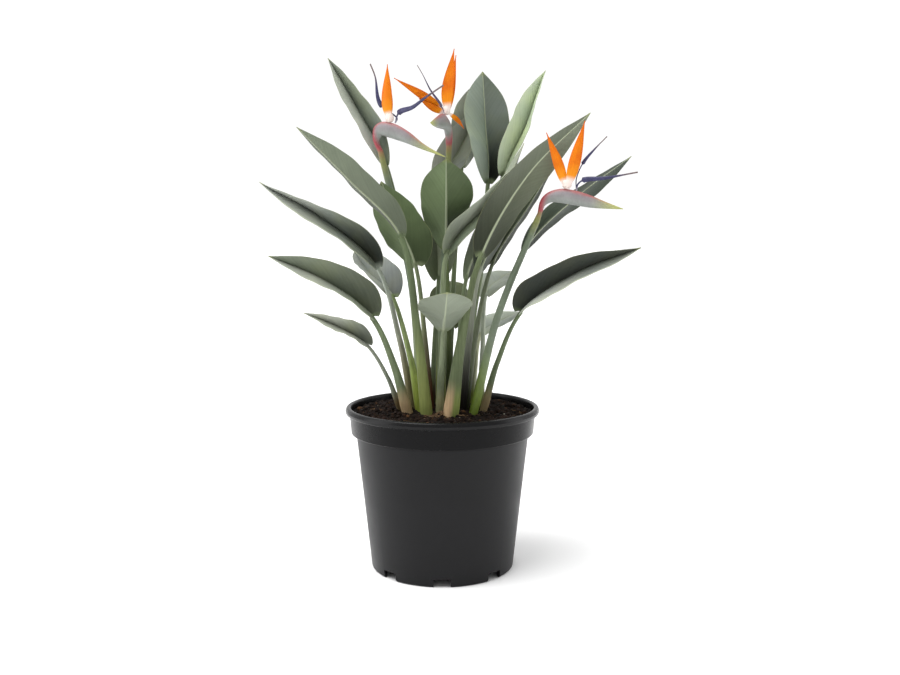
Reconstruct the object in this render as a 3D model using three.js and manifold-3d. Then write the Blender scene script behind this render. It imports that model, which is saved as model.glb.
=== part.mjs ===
// A bird of paradise plant (Strelitzia) in its plastic nursery pot.
// Millimetres, +Z up, origin on the floor under the middle of the pot, the viewer on the -Y side.
import * as THREE from "three";
import { mergeVertices } from "three/addons/utils/BufferGeometryUtils.js";
import Module from "manifold-3d";

const wasm = await Module();
wasm.setup();

// ---------------------------------------------------------------- driving dimensions

const RIM_RADIUS = 150; // outside of the rolled lip
const POT_HEIGHT = 252;
const LIP_HEIGHT = 12;
const LIP_MOUTH_RADIUS = 141; // inner edge of the lip
const COLLAR_TOP_RADIUS = 143.5;
const COLLAR_FOOT_RADIUS = 141;
const COLLAR_FOOT = 211; // height of the step under the collar
const BODY_TOP_RADIUS = 133.5;
const BODY_FOOT_RADIUS = 110.5;
const FOOT_ROUNDING = 2;
const WALL = 2.4;
const FLOOR_UNDERSIDE = 13;
const FLOOR_THICKNESS = 3;
const POT_SEGMENTS = 48;
const NOTCH_COUNT = 8;
const NOTCH_WIDTH = 25;
const NOTCH_HEIGHT = 12.5;

const SOIL_TOP = 241;
const SOIL_GAP = 0.3; // between soil and pot
const SOIL_ROUGHNESS = 2.2;
const SOIL_MOUND = 4; // how much higher the soil is round the plant
const SOIL_SEGMENTS = 32;
const SOIL_RINGS = [0.18, 0.36, 0.54, 0.72, 0.88, 1];

const ROOT_DEPTH = 26; // how deep a stem stands in the soil
const HOLE_CLEARANCE = 0.35;
const BLADE_THICKNESS = 1;
const STEM_BOW = 0.12; // share of a stem's lean that it takes up late
const LOBE = 9; // how far the blade's rounded base reaches back past the neck
const WIDEST = 0.36; // where along the blade it is widest, if the leaf doesn't say
const TAPER = 1.35; // how full the blade stays towards its tip, if the leaf doesn't say
const MARGIN_WAVE = 1.6;
const MIN_REACH = 0.8; // half width that a tip keeps

// Each leaf: where its stem leaves the soil [x, y], the neck where the blade starts, the blade's
// tip, how far the midrib arches off the straight line, the half width, the fold of each half
// out of the flat at the blade's base and at its tip, how far the blade is turned about its
// midrib at both, and the stem's radius at the soil and at the neck. Degrees and millimetres.
const LEAVES = {
  // back, upper left
  leaf_01: {
    root: [-35, 41],
    neck: [-90, 60, 627],
    tip: [-186, 120, 799],
    arch: 3,
    half: 40,
    fold: [62, 70],
    turn: [-55, -61],
    radii: [6, 3.2],
    bow: 0.22,
    widest: 0.26,
  },
  // front, long, to the upper left
  leaf_02: {
    root: [-23, -44],
    neck: [-61, -66, 514],
    tip: [-202, -110, 663],
    arch: 2,
    half: 43,
    fold: [70, 62],
    turn: [64, 60],
    radii: [9.5, 4.2],
    widest: 0.2,
  },
  // behind the last, upright to the left
  leaf_03: {
    root: [-18, 2],
    neck: [-41, -16, 471],
    tip: [-90, -34, 593],
    arch: -1,
    half: 46,
    fold: [39, 48],
    turn: [51, 88],
    radii: [6, 3],
    widest: 0.3,
    taper: 1.8,
  },
  // upright in the middle
  leaf_04: {
    root: [12, 14],
    neck: [6, 15, 497],
    tip: [6, -18, 627],
    arch: -4,
    half: 46,
    fold: [56, 4],
    turn: [6, -6],
    radii: [6.5, 3.2],
    widest: 0.32,
    taper: 2,
  },
  // low left, broad
  leaf_05: {
    root: [-52, -26],
    neck: [-105, -60, 395],
    tip: [-248, -95, 484],
    arch: 11,
    half: 39,
    fold: [53, 56],
    turn: [-58, -81],
    radii: [8.5, 3.8],
    widest: 0.2,
  },
  // left, folded
  leaf_06: {
    root: [-45, 8],
    neck: [-102, 10, 467],
    tip: [-281, 20, 595],
    arch: 11,
    half: 42,
    fold: [62, 73],
    turn: [-66, -102],
    radii: [6.5, 3.2],
    widest: 0.2,
  },
  // behind the last two, leaning back
  leaf_07: {
    root: [-33, -16],
    neck: [-79, 30, 419],
    tip: [-150, 150, 486],
    arch: -6,
    half: 40,
    fold: [34, 50],
    turn: [-7, -7],
    radii: [7.5, 3.2],
  },
  // middle, back
  leaf_08: {
    root: [-17, 46],
    neck: [-7, 52, 448],
    tip: [-11, 88, 570],
    arch: 0,
    half: 36,
    fold: [35, 50],
    turn: [0, 0],
    radii: [5, 2.6],
  },
  // middle, folded, to the right
  leaf_09: {
    root: [-2, 2],
    neck: [9, -18, 490],
    tip: [136, 32, 639],
    arch: -1,
    half: 32,
    fold: [60, 75],
    turn: [66, 68],
    radii: [6, 3.6],
    widest: 0.16,
  },
  // behind the largest, narrow
  leaf_10: {
    root: [18, -8],
    neck: [38, 11, 451],
    tip: [126, 35, 655],
    arch: -1,
    half: 23,
    fold: [55, 65],
    turn: [-95, -95],
    radii: [6, 3],
  },
  // the largest, front, to the upper right
  leaf_11: {
    root: [12, -48],
    neck: [58, -68, 486],
    tip: [224, 8, 698],
    arch: 18,
    half: 40,
    fold: [52, 46],
    turn: [-104, -116],
    radii: [12, 4],
    widest: 0.3,
  },
  // right, behind the third bloom
  leaf_12: {
    root: [47, -6],
    neck: [128, 10, 494],
    tip: [280, -30, 630],
    arch: 8,
    half: 43,
    fold: [70, 72],
    turn: [-72, -98],
    radii: [6.5, 3],
    widest: 0.34,
  },
  // small, lowest left
  leaf_13: {
    root: [-64, -4],
    neck: [-112, -70, 355],
    tip: [-197, -110, 404],
    arch: 4,
    half: 26,
    fold: [58, 70],
    turn: [-75, -87],
    radii: [4.5, 2.5],
    widest: 0.28,
  },
  // small, front, leaning to the viewer
  leaf_14: {
    root: [-4, -22],
    neck: [2, -60, 375],
    tip: [8, -203, 438],
    arch: -4,
    half: 41,
    fold: [30, 10],
    turn: [0, 0],
    radii: [6.5, 3.5],
    widest: 0.3,
    taper: 2,
  },
  // small, back, leaning away
  leaf_15: {
    root: [4, 74],
    neck: [15, 98, 366],
    tip: [8, 200, 435],
    arch: 4,
    half: 37,
    fold: [20, 30],
    turn: [-10, -10],
    radii: [6.5, 4],
  },
  // back, upper
  leaf_16: {
    root: [8, 46],
    neck: [32, 150, 631],
    tip: [53, 198, 770],
    arch: -1,
    half: 36,
    fold: [35, 50],
    turn: [20, 20],
    radii: [6, 3],
  },
  // back, crossing in front of the last
  leaf_17: {
    root: [-8, 58],
    neck: [-3, 118, 596],
    tip: [58, 160, 719],
    arch: -1,
    half: 34,
    fold: [35, 50],
    turn: [45, 45],
    radii: [6, 3],
  },
  // back, tall, seen flat
  leaf_18: {
    root: [27, 57],
    neck: [73, 88, 601],
    tip: [65, 140, 781],
    arch: 1,
    half: 42,
    fold: [54, 4],
    turn: [-2, -1],
    radii: [7, 3.4],
    widest: 0.24,
    taper: 1.9,
  },
  // back right, tall, pale
  leaf_19: {
    root: [30, 44],
    neck: [97, 70, 611],
    tip: [166, 112, 778],
    arch: -6,
    half: 42,
    fold: [64, 72],
    turn: [47, 36],
    radii: [6.5, 3.2],
  },
  // right, behind the largest
  leaf_20: {
    root: [34, 12],
    neck: [79, 28, 472],
    tip: [191, 75, 649],
    arch: -1,
    half: 31,
    fold: [45, 58],
    turn: [-85, -85],
    radii: [7, 3],
  },
  // right, under the largest
  leaf_21: {
    root: [30, -14],
    neck: [59, -12, 464],
    tip: [162, 10, 643],
    arch: 1,
    half: 34,
    fold: [50, 60],
    turn: [-85, -85],
    radii: [7, 3.2],
  },
  // low right, folded
  leaf_22: {
    root: [62, -8],
    neck: [120, -35, 401],
    tip: [281, -110, 496],
    arch: 12,
    half: 38,
    fold: [60, 56],
    turn: [73, 95],
    radii: [6, 3],
    widest: 0.2,
  },
  // back right, leaning away
  leaf_23: {
    root: [60, 32],
    neck: [70, 80, 419],
    tip: [120, 200, 452],
    arch: 5,
    half: 34,
    fold: [8, 20],
    turn: [0, 0],
    radii: [6, 3],
  },
  // back right, lowest
  leaf_24: {
    root: [46, 52],
    neck: [62, 90, 353],
    tip: [132, 190, 382],
    arch: 3,
    half: 33,
    fold: [8, 20],
    turn: [0, 0],
    radii: [6, 3],
  },
};

// Each bloom: its stem's root and neck as for a leaf, the compass heading of the beak in degrees
// from +X, and then, measured from the neck as [along the heading, across it, up]: the outer and
// inner edge of the beak [along, up], the orange sepals and the blue petals. A petal's head runs
// from its barbs to where it is drawn out to a thread, as shares of the petal's length.
const BLOOMS = {
  bloom_1: {
    root: [-31, 21],
    neck: [-95, 31, 641],
    bow: 0.22,
    heading: -24,
    beak: [
      { outer: [-4.5, 0], inner: [4.5, 0] },
      { outer: [-13, 21], inner: [-3, 17] },
      { outer: [-11, 39], inner: [2, 25] },
      { outer: [1, 46], inner: [10, 23] },
      { outer: [22, 43], inner: [23, 19] },
      { outer: [47, 30], inner: [44, 12] },
      { outer: [75, 9], inner: [70, 2] },
      { outer: [109, -10], inner: [108, -11] },
    ],
    cup: [15, 1, 44.8],
    sepals: [
      { path: [[14, 0, 50], [12, -2, 72], [14, -3, 131]], half: 10 },
      { path: [[12, 4, 50], [10.5, 8, 74], [10, 11, 112]], half: 7 },
    ],
    petals: [
      {
        path: [[23.2, 4, 43.8], [31, 0, 58], [60, -10, 64], [85, -17, 76], [117, -24, 90.5]],
        half: 4.6,
        head: [0.15, 0.8],
      },
      {
        path: [[23.2, 4, 43.8], [22, 12, 52], [-8, 12, 76.5], [-16, 13, 117], [-24.5, 13, 137]],
        half: 4.2,
        head: [0.4, 0.8],
      },
    ],
  },
  bloom_2: {
    root: [-3, 26],
    neck: [10, 50, 652],
    heading: -103,
    beak: [
      { outer: [-5, 0], inner: [4, 0] },
      { outer: [-6, 20], inner: [6, 13] },
      { outer: [5, 37], inner: [16, 21] },
      { outer: [28, 45], inner: [32, 22] },
      { outer: [54, 43], inner: [54, 21] },
      { outer: [78, 36], inner: [77, 20] },
      { outer: [100, 29], inner: [99, 20] },
      { outer: [118, 23], inner: [118, 22] },
    ],
    cup: [24, 2, 45.4],
    sepals: [
      { path: [[25, 3, 50], [24, 3, 78], [25, 14, 143]], half: 10, face: [1, 0, 0] },
      { path: [[22, 4, 50], [17, 7, 80], [12, 14, 136]], half: 7, face: [1, 0, 0] },
      { path: [[27, -1, 50], [52, -26, 70], [90, -62, 92]], half: 8, face: [1, 0, -0.6] },
      { path: [[26, -2, 48], [42, -18, 56], [57, -33, 66]], half: 6.5, face: [1, 0, -0.6] },
      { path: [[20, 5, 48], [5, 14, 40], [-18, 20, 29]], half: 4, face: [1, 0, 0] },
    ],
    petals: [
      {
        path: [[40, 3, 43.6], [44, -2, 56.5], [56, -15, 77], [68, -24, 98.5], [74, -31, 112]],
        half: 4.4,
        head: [0.16, 0.78],
      },
    ],
  },
  bloom_3: {
    root: [46, -34],
    neck: [146, -30, 547],
    heading: -16,
    beak: [
      { outer: [-4, 0], inner: [3, 0] },
      { outer: [0, 18], inner: [7, 10] },
      { outer: [10, 29], inner: [17, 15] },
      { outer: [30, 35], inner: [31, 14] },
      { outer: [52, 32], inner: [49, 11] },
      { outer: [74, 25], inner: [71, 7] },
      { outer: [97, 15], inner: [96, 5] },
      { outer: [122, 5], inner: [122, 4] },
    ],
    cup: [39.5, 0, 35],
    sepals: [
      { path: [[37, 0, 39], [26, 0, 72], [8, 0, 117]], half: 8.3 },
      { path: [[42, -2, 39], [51, -3, 74], [65, -3, 132]], half: 9.6 },
      { path: [[41, 3, 39], [48, 8, 64], [55, 12, 100]], half: 6 },
    ],
    petals: [
      {
        path: [[53, 3, 31.6], [55, 3, 41], [63, 2, 47], [95, 0, 49.5], [142, 0, 57]],
        half: 4.2,
        head: [0.2, 0.8],
      },
      {
        path: [[53, 3, 31.6], [52, 9, 50], [61.5, 9, 72.5], [78, 9, 92], [96, 9, 110]],
        half: 2.8,
        head: [0.46, 0.85],
      },
    ],
  },
};
const SCAPE_RADII = [7, 4.6];
const BEAK_HALF_WIDTH = 6.5;
const SEPAL_THICKNESS = 2.4;
const PETAL_THICKNESS = 2.2;
const PETAL_EDGE = 0.7;
const PETAL_STALK = 0.28; // share of a petal's half width that its stalk and its thread have
const CUP_SIDES = 8;
const CUP_RINGS = [[0, 4, 3], [3, 7, 5.5], [8, 7, 5.5], [13, 4.5, 3.5]]; // height, half length, half width

// ---------------------------------------------------------------- colours

const COLOURS = {
  pot: [0x2d2d2f, 0.38],
  soil: [0x33241b, 0.95],
  leaf: [0x5f7050, 0.5],
  spathe: [0xa58f92, 0.5],
  sepal: [0xff8a10, 0.55],
  petal: [0x35305a, 0.5],
};

// ---------------------------------------------------------------- small helpers

const UP = new THREE.Vector3(0, 0, 1);

const vec = (p) => new THREE.Vector3(...p);
const radians = THREE.MathUtils.degToRad;
const mix = THREE.MathUtils.lerp;

function acrossTo(direction, tangent) {
  return direction.clone().addScaledVector(tangent, -direction.dot(tangent)).normalize();
}

function solidOf(geometry) {
  const bare = geometry.clone();
  bare.deleteAttribute("normal");
  bare.deleteAttribute("uv");
  const merged = mergeVertices(bare, 1e-4);
  const vertProperties = merged.attributes.position.array;
  const triVerts = new Uint32Array(merged.index.array);
  return new wasm.Manifold(new wasm.Mesh({ numProp: 3, vertProperties, triVerts }));
}

function geometryOf(solid) {
  const mesh = solid.getMesh();
  const geometry = new THREE.BufferGeometry();
  const positions = new Float32Array(mesh.numVert * 3);
  for (let i = 0; i < mesh.numVert; i += 1) {
    const start = i * mesh.numProp;
    positions.set(mesh.vertProperties.subarray(start, start + 3), i * 3);
  }
  geometry.setAttribute("position", new THREE.BufferAttribute(positions, 3));
  geometry.setIndex(new THREE.BufferAttribute(mesh.triVerts, 1));
  return geometry;
}

function joined(geometries) {
  return geometryOf(geometries.map(solidOf).reduce((sum, part) => sum.add(part)));
}

function signedVolume(points, faces) {
  let volume = 0;
  for (const [a, b, c] of faces) {
    volume += points[a].dot(points[b].clone().cross(points[c])) / 6;
  }
  return volume;
}

// A closed skin through rings of points that all have the same count. The second half of each
// ring runs back under the first, and its squares are split along the matching diagonal.
function loft(rings) {
  const count = rings[0].length;
  const points = rings.flat();
  const faces = [];
  for (let r = 0; r + 1 < rings.length; r += 1) {
    for (let i = 0; i < count; i += 1) {
      const a = r * count + i;
      const b = r * count + ((i + 1) % count);
      const upper = i < count / 2;
      faces.push(upper ? [a, b, b + count] : [a, b, a + count]);
      faces.push(upper ? [a, b + count, a + count] : [b, b + count, a + count]);
    }
  }
  const last = (rings.length - 1) * count;
  for (let i = 0; i < count / 2 - 1; i += 1) {
    const back = count - 1 - i;
    faces.push([i + 1, i, back], [i + 1, back, back - 1]);
    faces.push([last + i, last + i + 1, last + back], [last + i + 1, last + back - 1, last + back]);
  }
  if (signedVolume(points, faces) < 0) {
    faces.forEach((face) => face.reverse());
  }
  const geometry = new THREE.BufferGeometry().setFromPoints(points);
  geometry.setIndex(faces.flat());
  return geometry;
}

function mesh(name, geometry, [color, roughness]) {
  geometry.computeVertexNormals();
  const material = new THREE.MeshStandardMaterial({ color, roughness, metalness: 0 });
  const made = new THREE.Mesh(geometry, material);
  made.name = name;
  return made;
}

// ---------------------------------------------------------------- pot

function potProfile() {
  const foot = BODY_FOOT_RADIUS;
  const inside = (outer) => outer - WALL;
  const floorTop = FLOOR_UNDERSIDE + FLOOR_THICKNESS;
  const bodyAt = (z) => mix(BODY_FOOT_RADIUS, BODY_TOP_RADIUS, z / COLLAR_FOOT);
  const lipFoot = POT_HEIGHT - LIP_HEIGHT;
  return [
    [0, FLOOR_UNDERSIDE],
    [inside(foot) - FOOT_ROUNDING, FLOOR_UNDERSIDE],
    [inside(foot) - FOOT_ROUNDING, 0],
    [foot - FOOT_ROUNDING, 0],
    [foot - FOOT_ROUNDING * 0.3, FOOT_ROUNDING * 0.3],
    [bodyAt(FOOT_ROUNDING), FOOT_ROUNDING],
    [bodyAt(COLLAR_FOOT), COLLAR_FOOT - 1],
    [COLLAR_FOOT_RADIUS - 1, COLLAR_FOOT],
    [COLLAR_FOOT_RADIUS, COLLAR_FOOT + 1],
    [COLLAR_TOP_RADIUS, lipFoot],
    [RIM_RADIUS - 1, lipFoot + 2],
    [RIM_RADIUS, lipFoot + 6],
    [RIM_RADIUS - 2, POT_HEIGHT - 1.5],
    [RIM_RADIUS - 5, POT_HEIGHT],
    [LIP_MOUTH_RADIUS + 1, POT_HEIGHT - 1],
    [LIP_MOUTH_RADIUS, POT_HEIGHT - 4],
    [inside(COLLAR_TOP_RADIUS) - 1, lipFoot],
    [inside(COLLAR_FOOT_RADIUS), COLLAR_FOOT + WALL],
    [inside(bodyAt(COLLAR_FOOT)), COLLAR_FOOT + WALL - 1],
    [inside(bodyAt(floorTop)), floorTop],
    [0, floorTop],
  ];
}

function spun(profile, segments) {
  const outline = profile.map(([r, z]) => new THREE.Vector2(r, z));
  return new THREE.LatheGeometry(outline, segments).rotateX(Math.PI / 2);
}

function potGeometry() {
  let pot = solidOf(spun(potProfile(), POT_SEGMENTS));
  const reach = WALL + FOOT_ROUNDING + 8;
  for (let i = 0; i < NOTCH_COUNT; i += 1) {
    const notch = new THREE.BoxGeometry(NOTCH_WIDTH, reach, 2 * NOTCH_HEIGHT);
    notch.translate(0, -BODY_FOOT_RADIUS + reach / 2 - 2, 0);
    notch.rotateZ((i * 2 * Math.PI) / NOTCH_COUNT);
    pot = pot.subtract(solidOf(notch));
  }
  return geometryOf(pot);
}

// ---------------------------------------------------------------- stems

const SOIL_CLEAR = SOIL_TOP + SOIL_MOUND + 12; // where a stem is clear of the soil

// The straight foot of a stem and the curve from just above the soil through the neck.
function stemCourse({ root, neck, bow = STEM_BOW }) {
  const top = vec(neck);
  const ground = new THREE.Vector3(root[0], root[1], SOIL_TOP);
  const middle = ground.clone().lerp(top, 0.5);
  middle.x -= bow * (top.x - ground.x);
  middle.y -= bow * (top.y - ground.y);
  const lean = middle.clone().sub(ground).normalize();
  const atHeight = (z) => ground.clone().addScaledVector(lean, (z - SOIL_TOP) / lean.z);
  return { foot: atHeight(SOIL_TOP - ROOT_DEPTH), collar: atHeight(SOIL_CLEAR), middle, top, lean };
}

const STEM_STEPS = [0, 0.26, 0.52, 0.76, 0.94]; // shares of the way from collar to neck

function stemRadius(share, [atSoil, atNeck]) {
  return mix(atNeck, atSoil, (1 - share) ** 1.5);
}

// Points round an oval, in the order that a blade's outline also has.
function ovalRing(centre, side, width, up, height, count) {
  const ring = [];
  for (let i = 0; i < count; i += 1) {
    const angle = ((i + 0.5) * 2 * Math.PI) / count;
    const point = centre.clone();
    point.addScaledVector(side, width * Math.cos(angle));
    point.addScaledVector(up, height * Math.sin(angle));
    ring.push(point);
  }
  return ring;
}

const RING_POINTS = 10;

// A stem's rings; with a clearance they make the hole that it stands in.
function stemRings(plant, radii, side, up, clearance = 0) {
  const course = stemCourse(plant);
  const rings = [];
  const add = (centre, direction, radius) => {
    const across = acrossTo(side, direction);
    const rise = acrossTo(acrossTo(up, direction), across);
    const size = radius + clearance;
    rings.push(ovalRing(centre, across, size, rise, size, RING_POINTS));
  };
  const foot = course.foot.clone().addScaledVector(course.lean, -clearance);
  add(foot, course.lean, radii[0] * 0.9);
  add(course.collar, course.lean, radii[0]);
  return { rings, add, course };
}

// ---------------------------------------------------------------- leaves

const BLADE_STEPS = [0.03, 0.08, 0.16, 0.27, 0.4, 0.54, 0.68, 0.81, 0.92, 1];

// Share of the half width at a place along the blade: round at the base, pointed at the tip.
function widthShare(s, { widest = WIDEST, taper = TAPER }) {
  if (s < widest) {
    return Math.sqrt(1 - (1 - s / widest) ** 2);
  }
  return Math.cos((Math.PI / 2) * ((s - widest) / (1 - widest)) ** taper);
}

// The direction square to the blade's chord, turned about it from straight up.
function squareUp({ neck, tip }, turn) {
  const chord = vec(tip).sub(vec(neck)).normalize();
  return acrossTo(UP, chord).applyAxisAngle(chord, radians(turn));
}

// The directions in which a leaf's upper side and its side face at the neck.
function neckFrame(leaf) {
  const up = squareUp(leaf, leaf.turn[0]);
  const side = vec(leaf.tip).sub(vec(leaf.neck)).normalize().cross(up);
  return { up, side };
}

function bladeRing(centre, tangent, s, leaf) {
  const rise = acrossTo(squareUp(leaf, mix(leaf.turn[0], leaf.turn[1], s)), tangent);
  const side = tangent.clone().cross(rise);
  const fold = radians(mix(leaf.fold[0], leaf.fold[1], s));
  const fullness = widthShare(s, leaf);
  const reach = Math.max(leaf.half * fullness, MIN_REACH);
  const { widest = WIDEST } = leaf;
  const sweep = s < widest ? LOBE * (1 - s / widest) ** 3 : 0;
  const top = [];
  const bottom = [];
  for (const [hand, q] of [[1, 1], [1, 0.5], [0, 0], [-1, 0.5], [-1, 1]]) {
    const out = side.clone().multiplyScalar(hand * Math.cos(fold)).addScaledVector(rise, Math.sin(fold));
    const normal = hand === 0 ? rise : out.clone().cross(tangent).multiplyScalar(hand);
    const wave = MARGIN_WAVE * q * q * Math.sin(2 * Math.PI * (1.6 * s + 0.3 * hand)) * fullness;
    const belly = 0.22 * reach * q * (1 - q);
    const point = centre.clone();
    point.addScaledVector(out, reach * q);
    point.addScaledVector(tangent, -sweep * q * q);
    point.addScaledVector(normal, belly + wave);
    const skin = BLADE_THICKNESS / 2;
    const rib = leaf.radii[1];
    const crown = hand === 0 ? mix(rib, skin, Math.min(1, s * 6)) : skin;
    const keel = hand === 0 ? mix(rib, skin, s) : skin;
    top.push(point.clone().addScaledVector(normal, crown));
    bottom.unshift(point.clone().addScaledVector(normal, -keel));
  }
  return [...top, ...bottom];
}

function leafGeometry(leaf) {
  const tip = vec(leaf.tip);
  const neck = vec(leaf.neck);
  const { up, side } = neckFrame(leaf);
  const { rings, add, course } = stemRings(leaf, leaf.radii, side, up);
  const rib = neck.clone().lerp(tip, 0.5).addScaledVector(squareUp(leaf, 0), leaf.arch);
  const curve = new THREE.CatmullRomCurve3([course.collar, course.middle, neck, rib, tip]);
  for (const share of STEM_STEPS.slice(1)) {
    const t = share / 2;
    add(curve.getPoint(t), curve.getTangent(t), stemRadius(share, leaf.radii));
  }
  for (const s of BLADE_STEPS) {
    const t = (1 + s) / 2;
    rings.push(bladeRing(curve.getPoint(t), curve.getTangent(t), s, leaf));
  }
  return loft(rings);
}

function holeOf(plant, radii, side, up) {
  const { rings } = stemRings(plant, radii, side, up, HOLE_CLEARANCE);
  return solidOf(loft(rings));
}

// ---------------------------------------------------------------- blooms

// A bloom's own frame: along the beak's heading, across it, and up, from the neck.
function bloomFrame({ neck, heading }) {
  const along = new THREE.Vector3(Math.cos(radians(heading)), Math.sin(radians(heading)), 0);
  const across = UP.clone().cross(along);
  const at = ([a, b, z]) =>
    vec(neck).addScaledVector(along, a).addScaledVector(across, b).addScaledVector(UP, z);
  return { along, across, at };
}

// The stem and the boat-shaped sheath that it ends in.
function scapeGeometry(bloom) {
  const { along, across, at } = bloomFrame(bloom);
  const { rings, add, course } = stemRings(bloom, SCAPE_RADII, across, along);
  const curve = new THREE.CatmullRomCurve3([course.collar, course.middle, vec(bloom.neck)]);
  for (const share of STEM_STEPS.slice(1)) {
    add(curve.getPoint(share), curve.getTangent(share), stemRadius(share, SCAPE_RADII));
  }
  const last = bloom.beak.length - 1;
  bloom.beak.forEach(({ outer, inner }, i) => {
    const top = at([outer[0], 0, outer[1]]);
    const bottom = at([inner[0], 0, inner[1]]);
    const centre = top.clone().lerp(bottom, 0.5);
    const half = Math.max(top.distanceTo(bottom) / 2, 0.6);
    const swell = Math.sin(Math.PI * Math.min(1, 0.24 + (0.76 * i) / last));
    const width = Math.max(BEAK_HALF_WIDTH * swell, 0.6);
    const rise = bottom.clone().sub(centre).normalize();
    rings.push(ovalRing(centre, across, width, rise, half, RING_POINTS));
  });
  return loft(rings);
}

// A thin sepal or petal along a path, ridged along its middle.
function lance(at, { path, half, face = [0, 1, 0] }, thickness, steps, profile) {
  const curve = new THREE.CatmullRomCurve3(path.map(at));
  const towards = at(face).sub(at([0, 0, 0]));
  const rings = steps.map((s) => {
    const centre = curve.getPointAt(s);
    const tangent = curve.getTangentAt(s);
    const normal = acrossTo(towards, tangent);
    const side = tangent.clone().cross(normal);
    const reach = Math.max(half * profile(s), MIN_REACH);
    const depth = (thickness / 2) * Math.max(profile(s), 0.45);
    const edge = Math.min(PETAL_EDGE / 2, depth * 0.7);
    const ring = [];
    for (const [x, y] of [[1, edge], [0, depth], [-1, edge], [-1, -edge], [0, -depth], [1, -edge]]) {
      ring.push(centre.clone().addScaledVector(side, x * reach).addScaledVector(normal, y));
    }
    return ring;
  });
  return loft(rings);
}

// A sepal is lance-shaped: widest below its middle, with a long point.
const SEPAL_STEPS = [0, 0.12, 0.3, 0.5, 0.72, 0.9, 1];
const sepalProfile = (s) => 0.22 * (1 - s) + 0.9 * Math.sin(Math.PI * s ** 0.8) * (1 - 0.35 * s);

// A petal is a barbed head on a thin stalk, drawn out to a thread.
function petalSteps([barbs, thread]) {
  const stalk = [0, barbs * 0.3, barbs * 0.6, barbs - 0.03];
  return [...stalk, barbs, mix(barbs, thread, 0.3), mix(barbs, thread, 0.65), thread, 1];
}

function petalProfile([barbs, thread]) {
  return (s) => {
    const onHead = s >= barbs && s < thread;
    return onHead ? mix(1, PETAL_STALK, ((s - barbs) / (thread - barbs)) ** 0.9) : PETAL_STALK;
  };
}

// The pale cup that the sepals of one flower grow from.
function cupGeometry({ along, across, at }, [a, b, z]) {
  const rings = CUP_RINGS.map(([height, length, width]) =>
    ovalRing(at([a, b, z + height]), along, length, across, width, CUP_SIDES),
  );
  return loft(rings);
}

function sepalGeometry(bloom) {
  const frame = bloomFrame(bloom);
  const sepals = bloom.sepals.map((sepal) =>
    lance(frame.at, sepal, SEPAL_THICKNESS, SEPAL_STEPS, sepalProfile),
  );
  return joined([cupGeometry(frame, bloom.cup), ...sepals]);
}

function petalGeometry(bloom) {
  const { at } = bloomFrame(bloom);
  const petals = bloom.petals.map((petal) =>
    lance(at, petal, PETAL_THICKNESS, petalSteps(petal.head), petalProfile(petal.head)),
  );
  return joined(petals);
}

// ---------------------------------------------------------------- soil

// Clods and hollows: a sum of waves, so that every point has one height.
function soilRelief(x, y) {
  const waves = Math.sin(x * 0.093 + 1.3) * Math.sin(y * 0.121 + 0.4) + 0.6 * Math.sin(x * 0.27 + y * 0.19);
  const mound = SOIL_MOUND * Math.max(0, 1 - Math.hypot(x, y) / RIM_RADIUS);
  return SOIL_ROUGHNESS * waves * 0.6 + mound;
}

function soilGeometry(stems) {
  const floorTop = FLOOR_UNDERSIDE + FLOOR_THICKNESS;
  const bodyAt = (z) => mix(BODY_FOOT_RADIUS, BODY_TOP_RADIUS, z / COLLAR_FOOT) - WALL - SOIL_GAP;
  const surfaceRadius = COLLAR_TOP_RADIUS - WALL - SOIL_GAP - 2.5;
  const surface = SOIL_RINGS.map((share) => [surfaceRadius * share, SOIL_TOP]).reverse();
  const profile = [
    [0, floorTop + SOIL_GAP],
    [bodyAt(floorTop) - 1, floorTop + SOIL_GAP],
    [bodyAt(COLLAR_FOOT) - 0.2, COLLAR_FOOT + WALL],
    [COLLAR_FOOT_RADIUS - WALL - SOIL_GAP - 1.2, COLLAR_FOOT + WALL + 2],
    ...surface,
    [0, SOIL_TOP],
  ];
  const geometry = spun(profile, SOIL_SEGMENTS);
  const spots = geometry.attributes.position;
  for (let i = 0; i < spots.count; i += 1) {
    if (spots.getZ(i) > SOIL_TOP - 1) {
      const edge = Math.hypot(spots.getX(i), spots.getY(i)) > surfaceRadius - 1 ? 0.3 : 1;
      spots.setZ(i, SOIL_TOP + edge * soilRelief(spots.getX(i), spots.getY(i)));
    }
  }
  return geometryOf(stems.reduce((soil, stem) => soil.subtract(stem), solidOf(geometry)));
}

// ---------------------------------------------------------------- the whole plant

const group = new THREE.Group();
const holes = [];

for (const [name, leaf] of Object.entries(LEAVES)) {
  const { up, side } = neckFrame(leaf);
  group.add(mesh(name, leafGeometry(leaf), COLOURS.leaf));
  holes.push(holeOf(leaf, leaf.radii, side, up));
}
for (const [name, bloom] of Object.entries(BLOOMS)) {
  const { along, across } = bloomFrame(bloom);
  group.add(mesh(`${name}_stem`, scapeGeometry(bloom), COLOURS.spathe));
  group.add(mesh(`${name}_sepals`, sepalGeometry(bloom), COLOURS.sepal));
  group.add(mesh(`${name}_petals`, petalGeometry(bloom), COLOURS.petal));
  holes.push(holeOf(bloom, SCAPE_RADII, across, along));
}
group.add(mesh("pot", potGeometry(), COLOURS.pot));
group.add(mesh("soil", soilGeometry(holes), COLOURS.soil));

export default group;
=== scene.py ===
import math
import random

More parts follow.
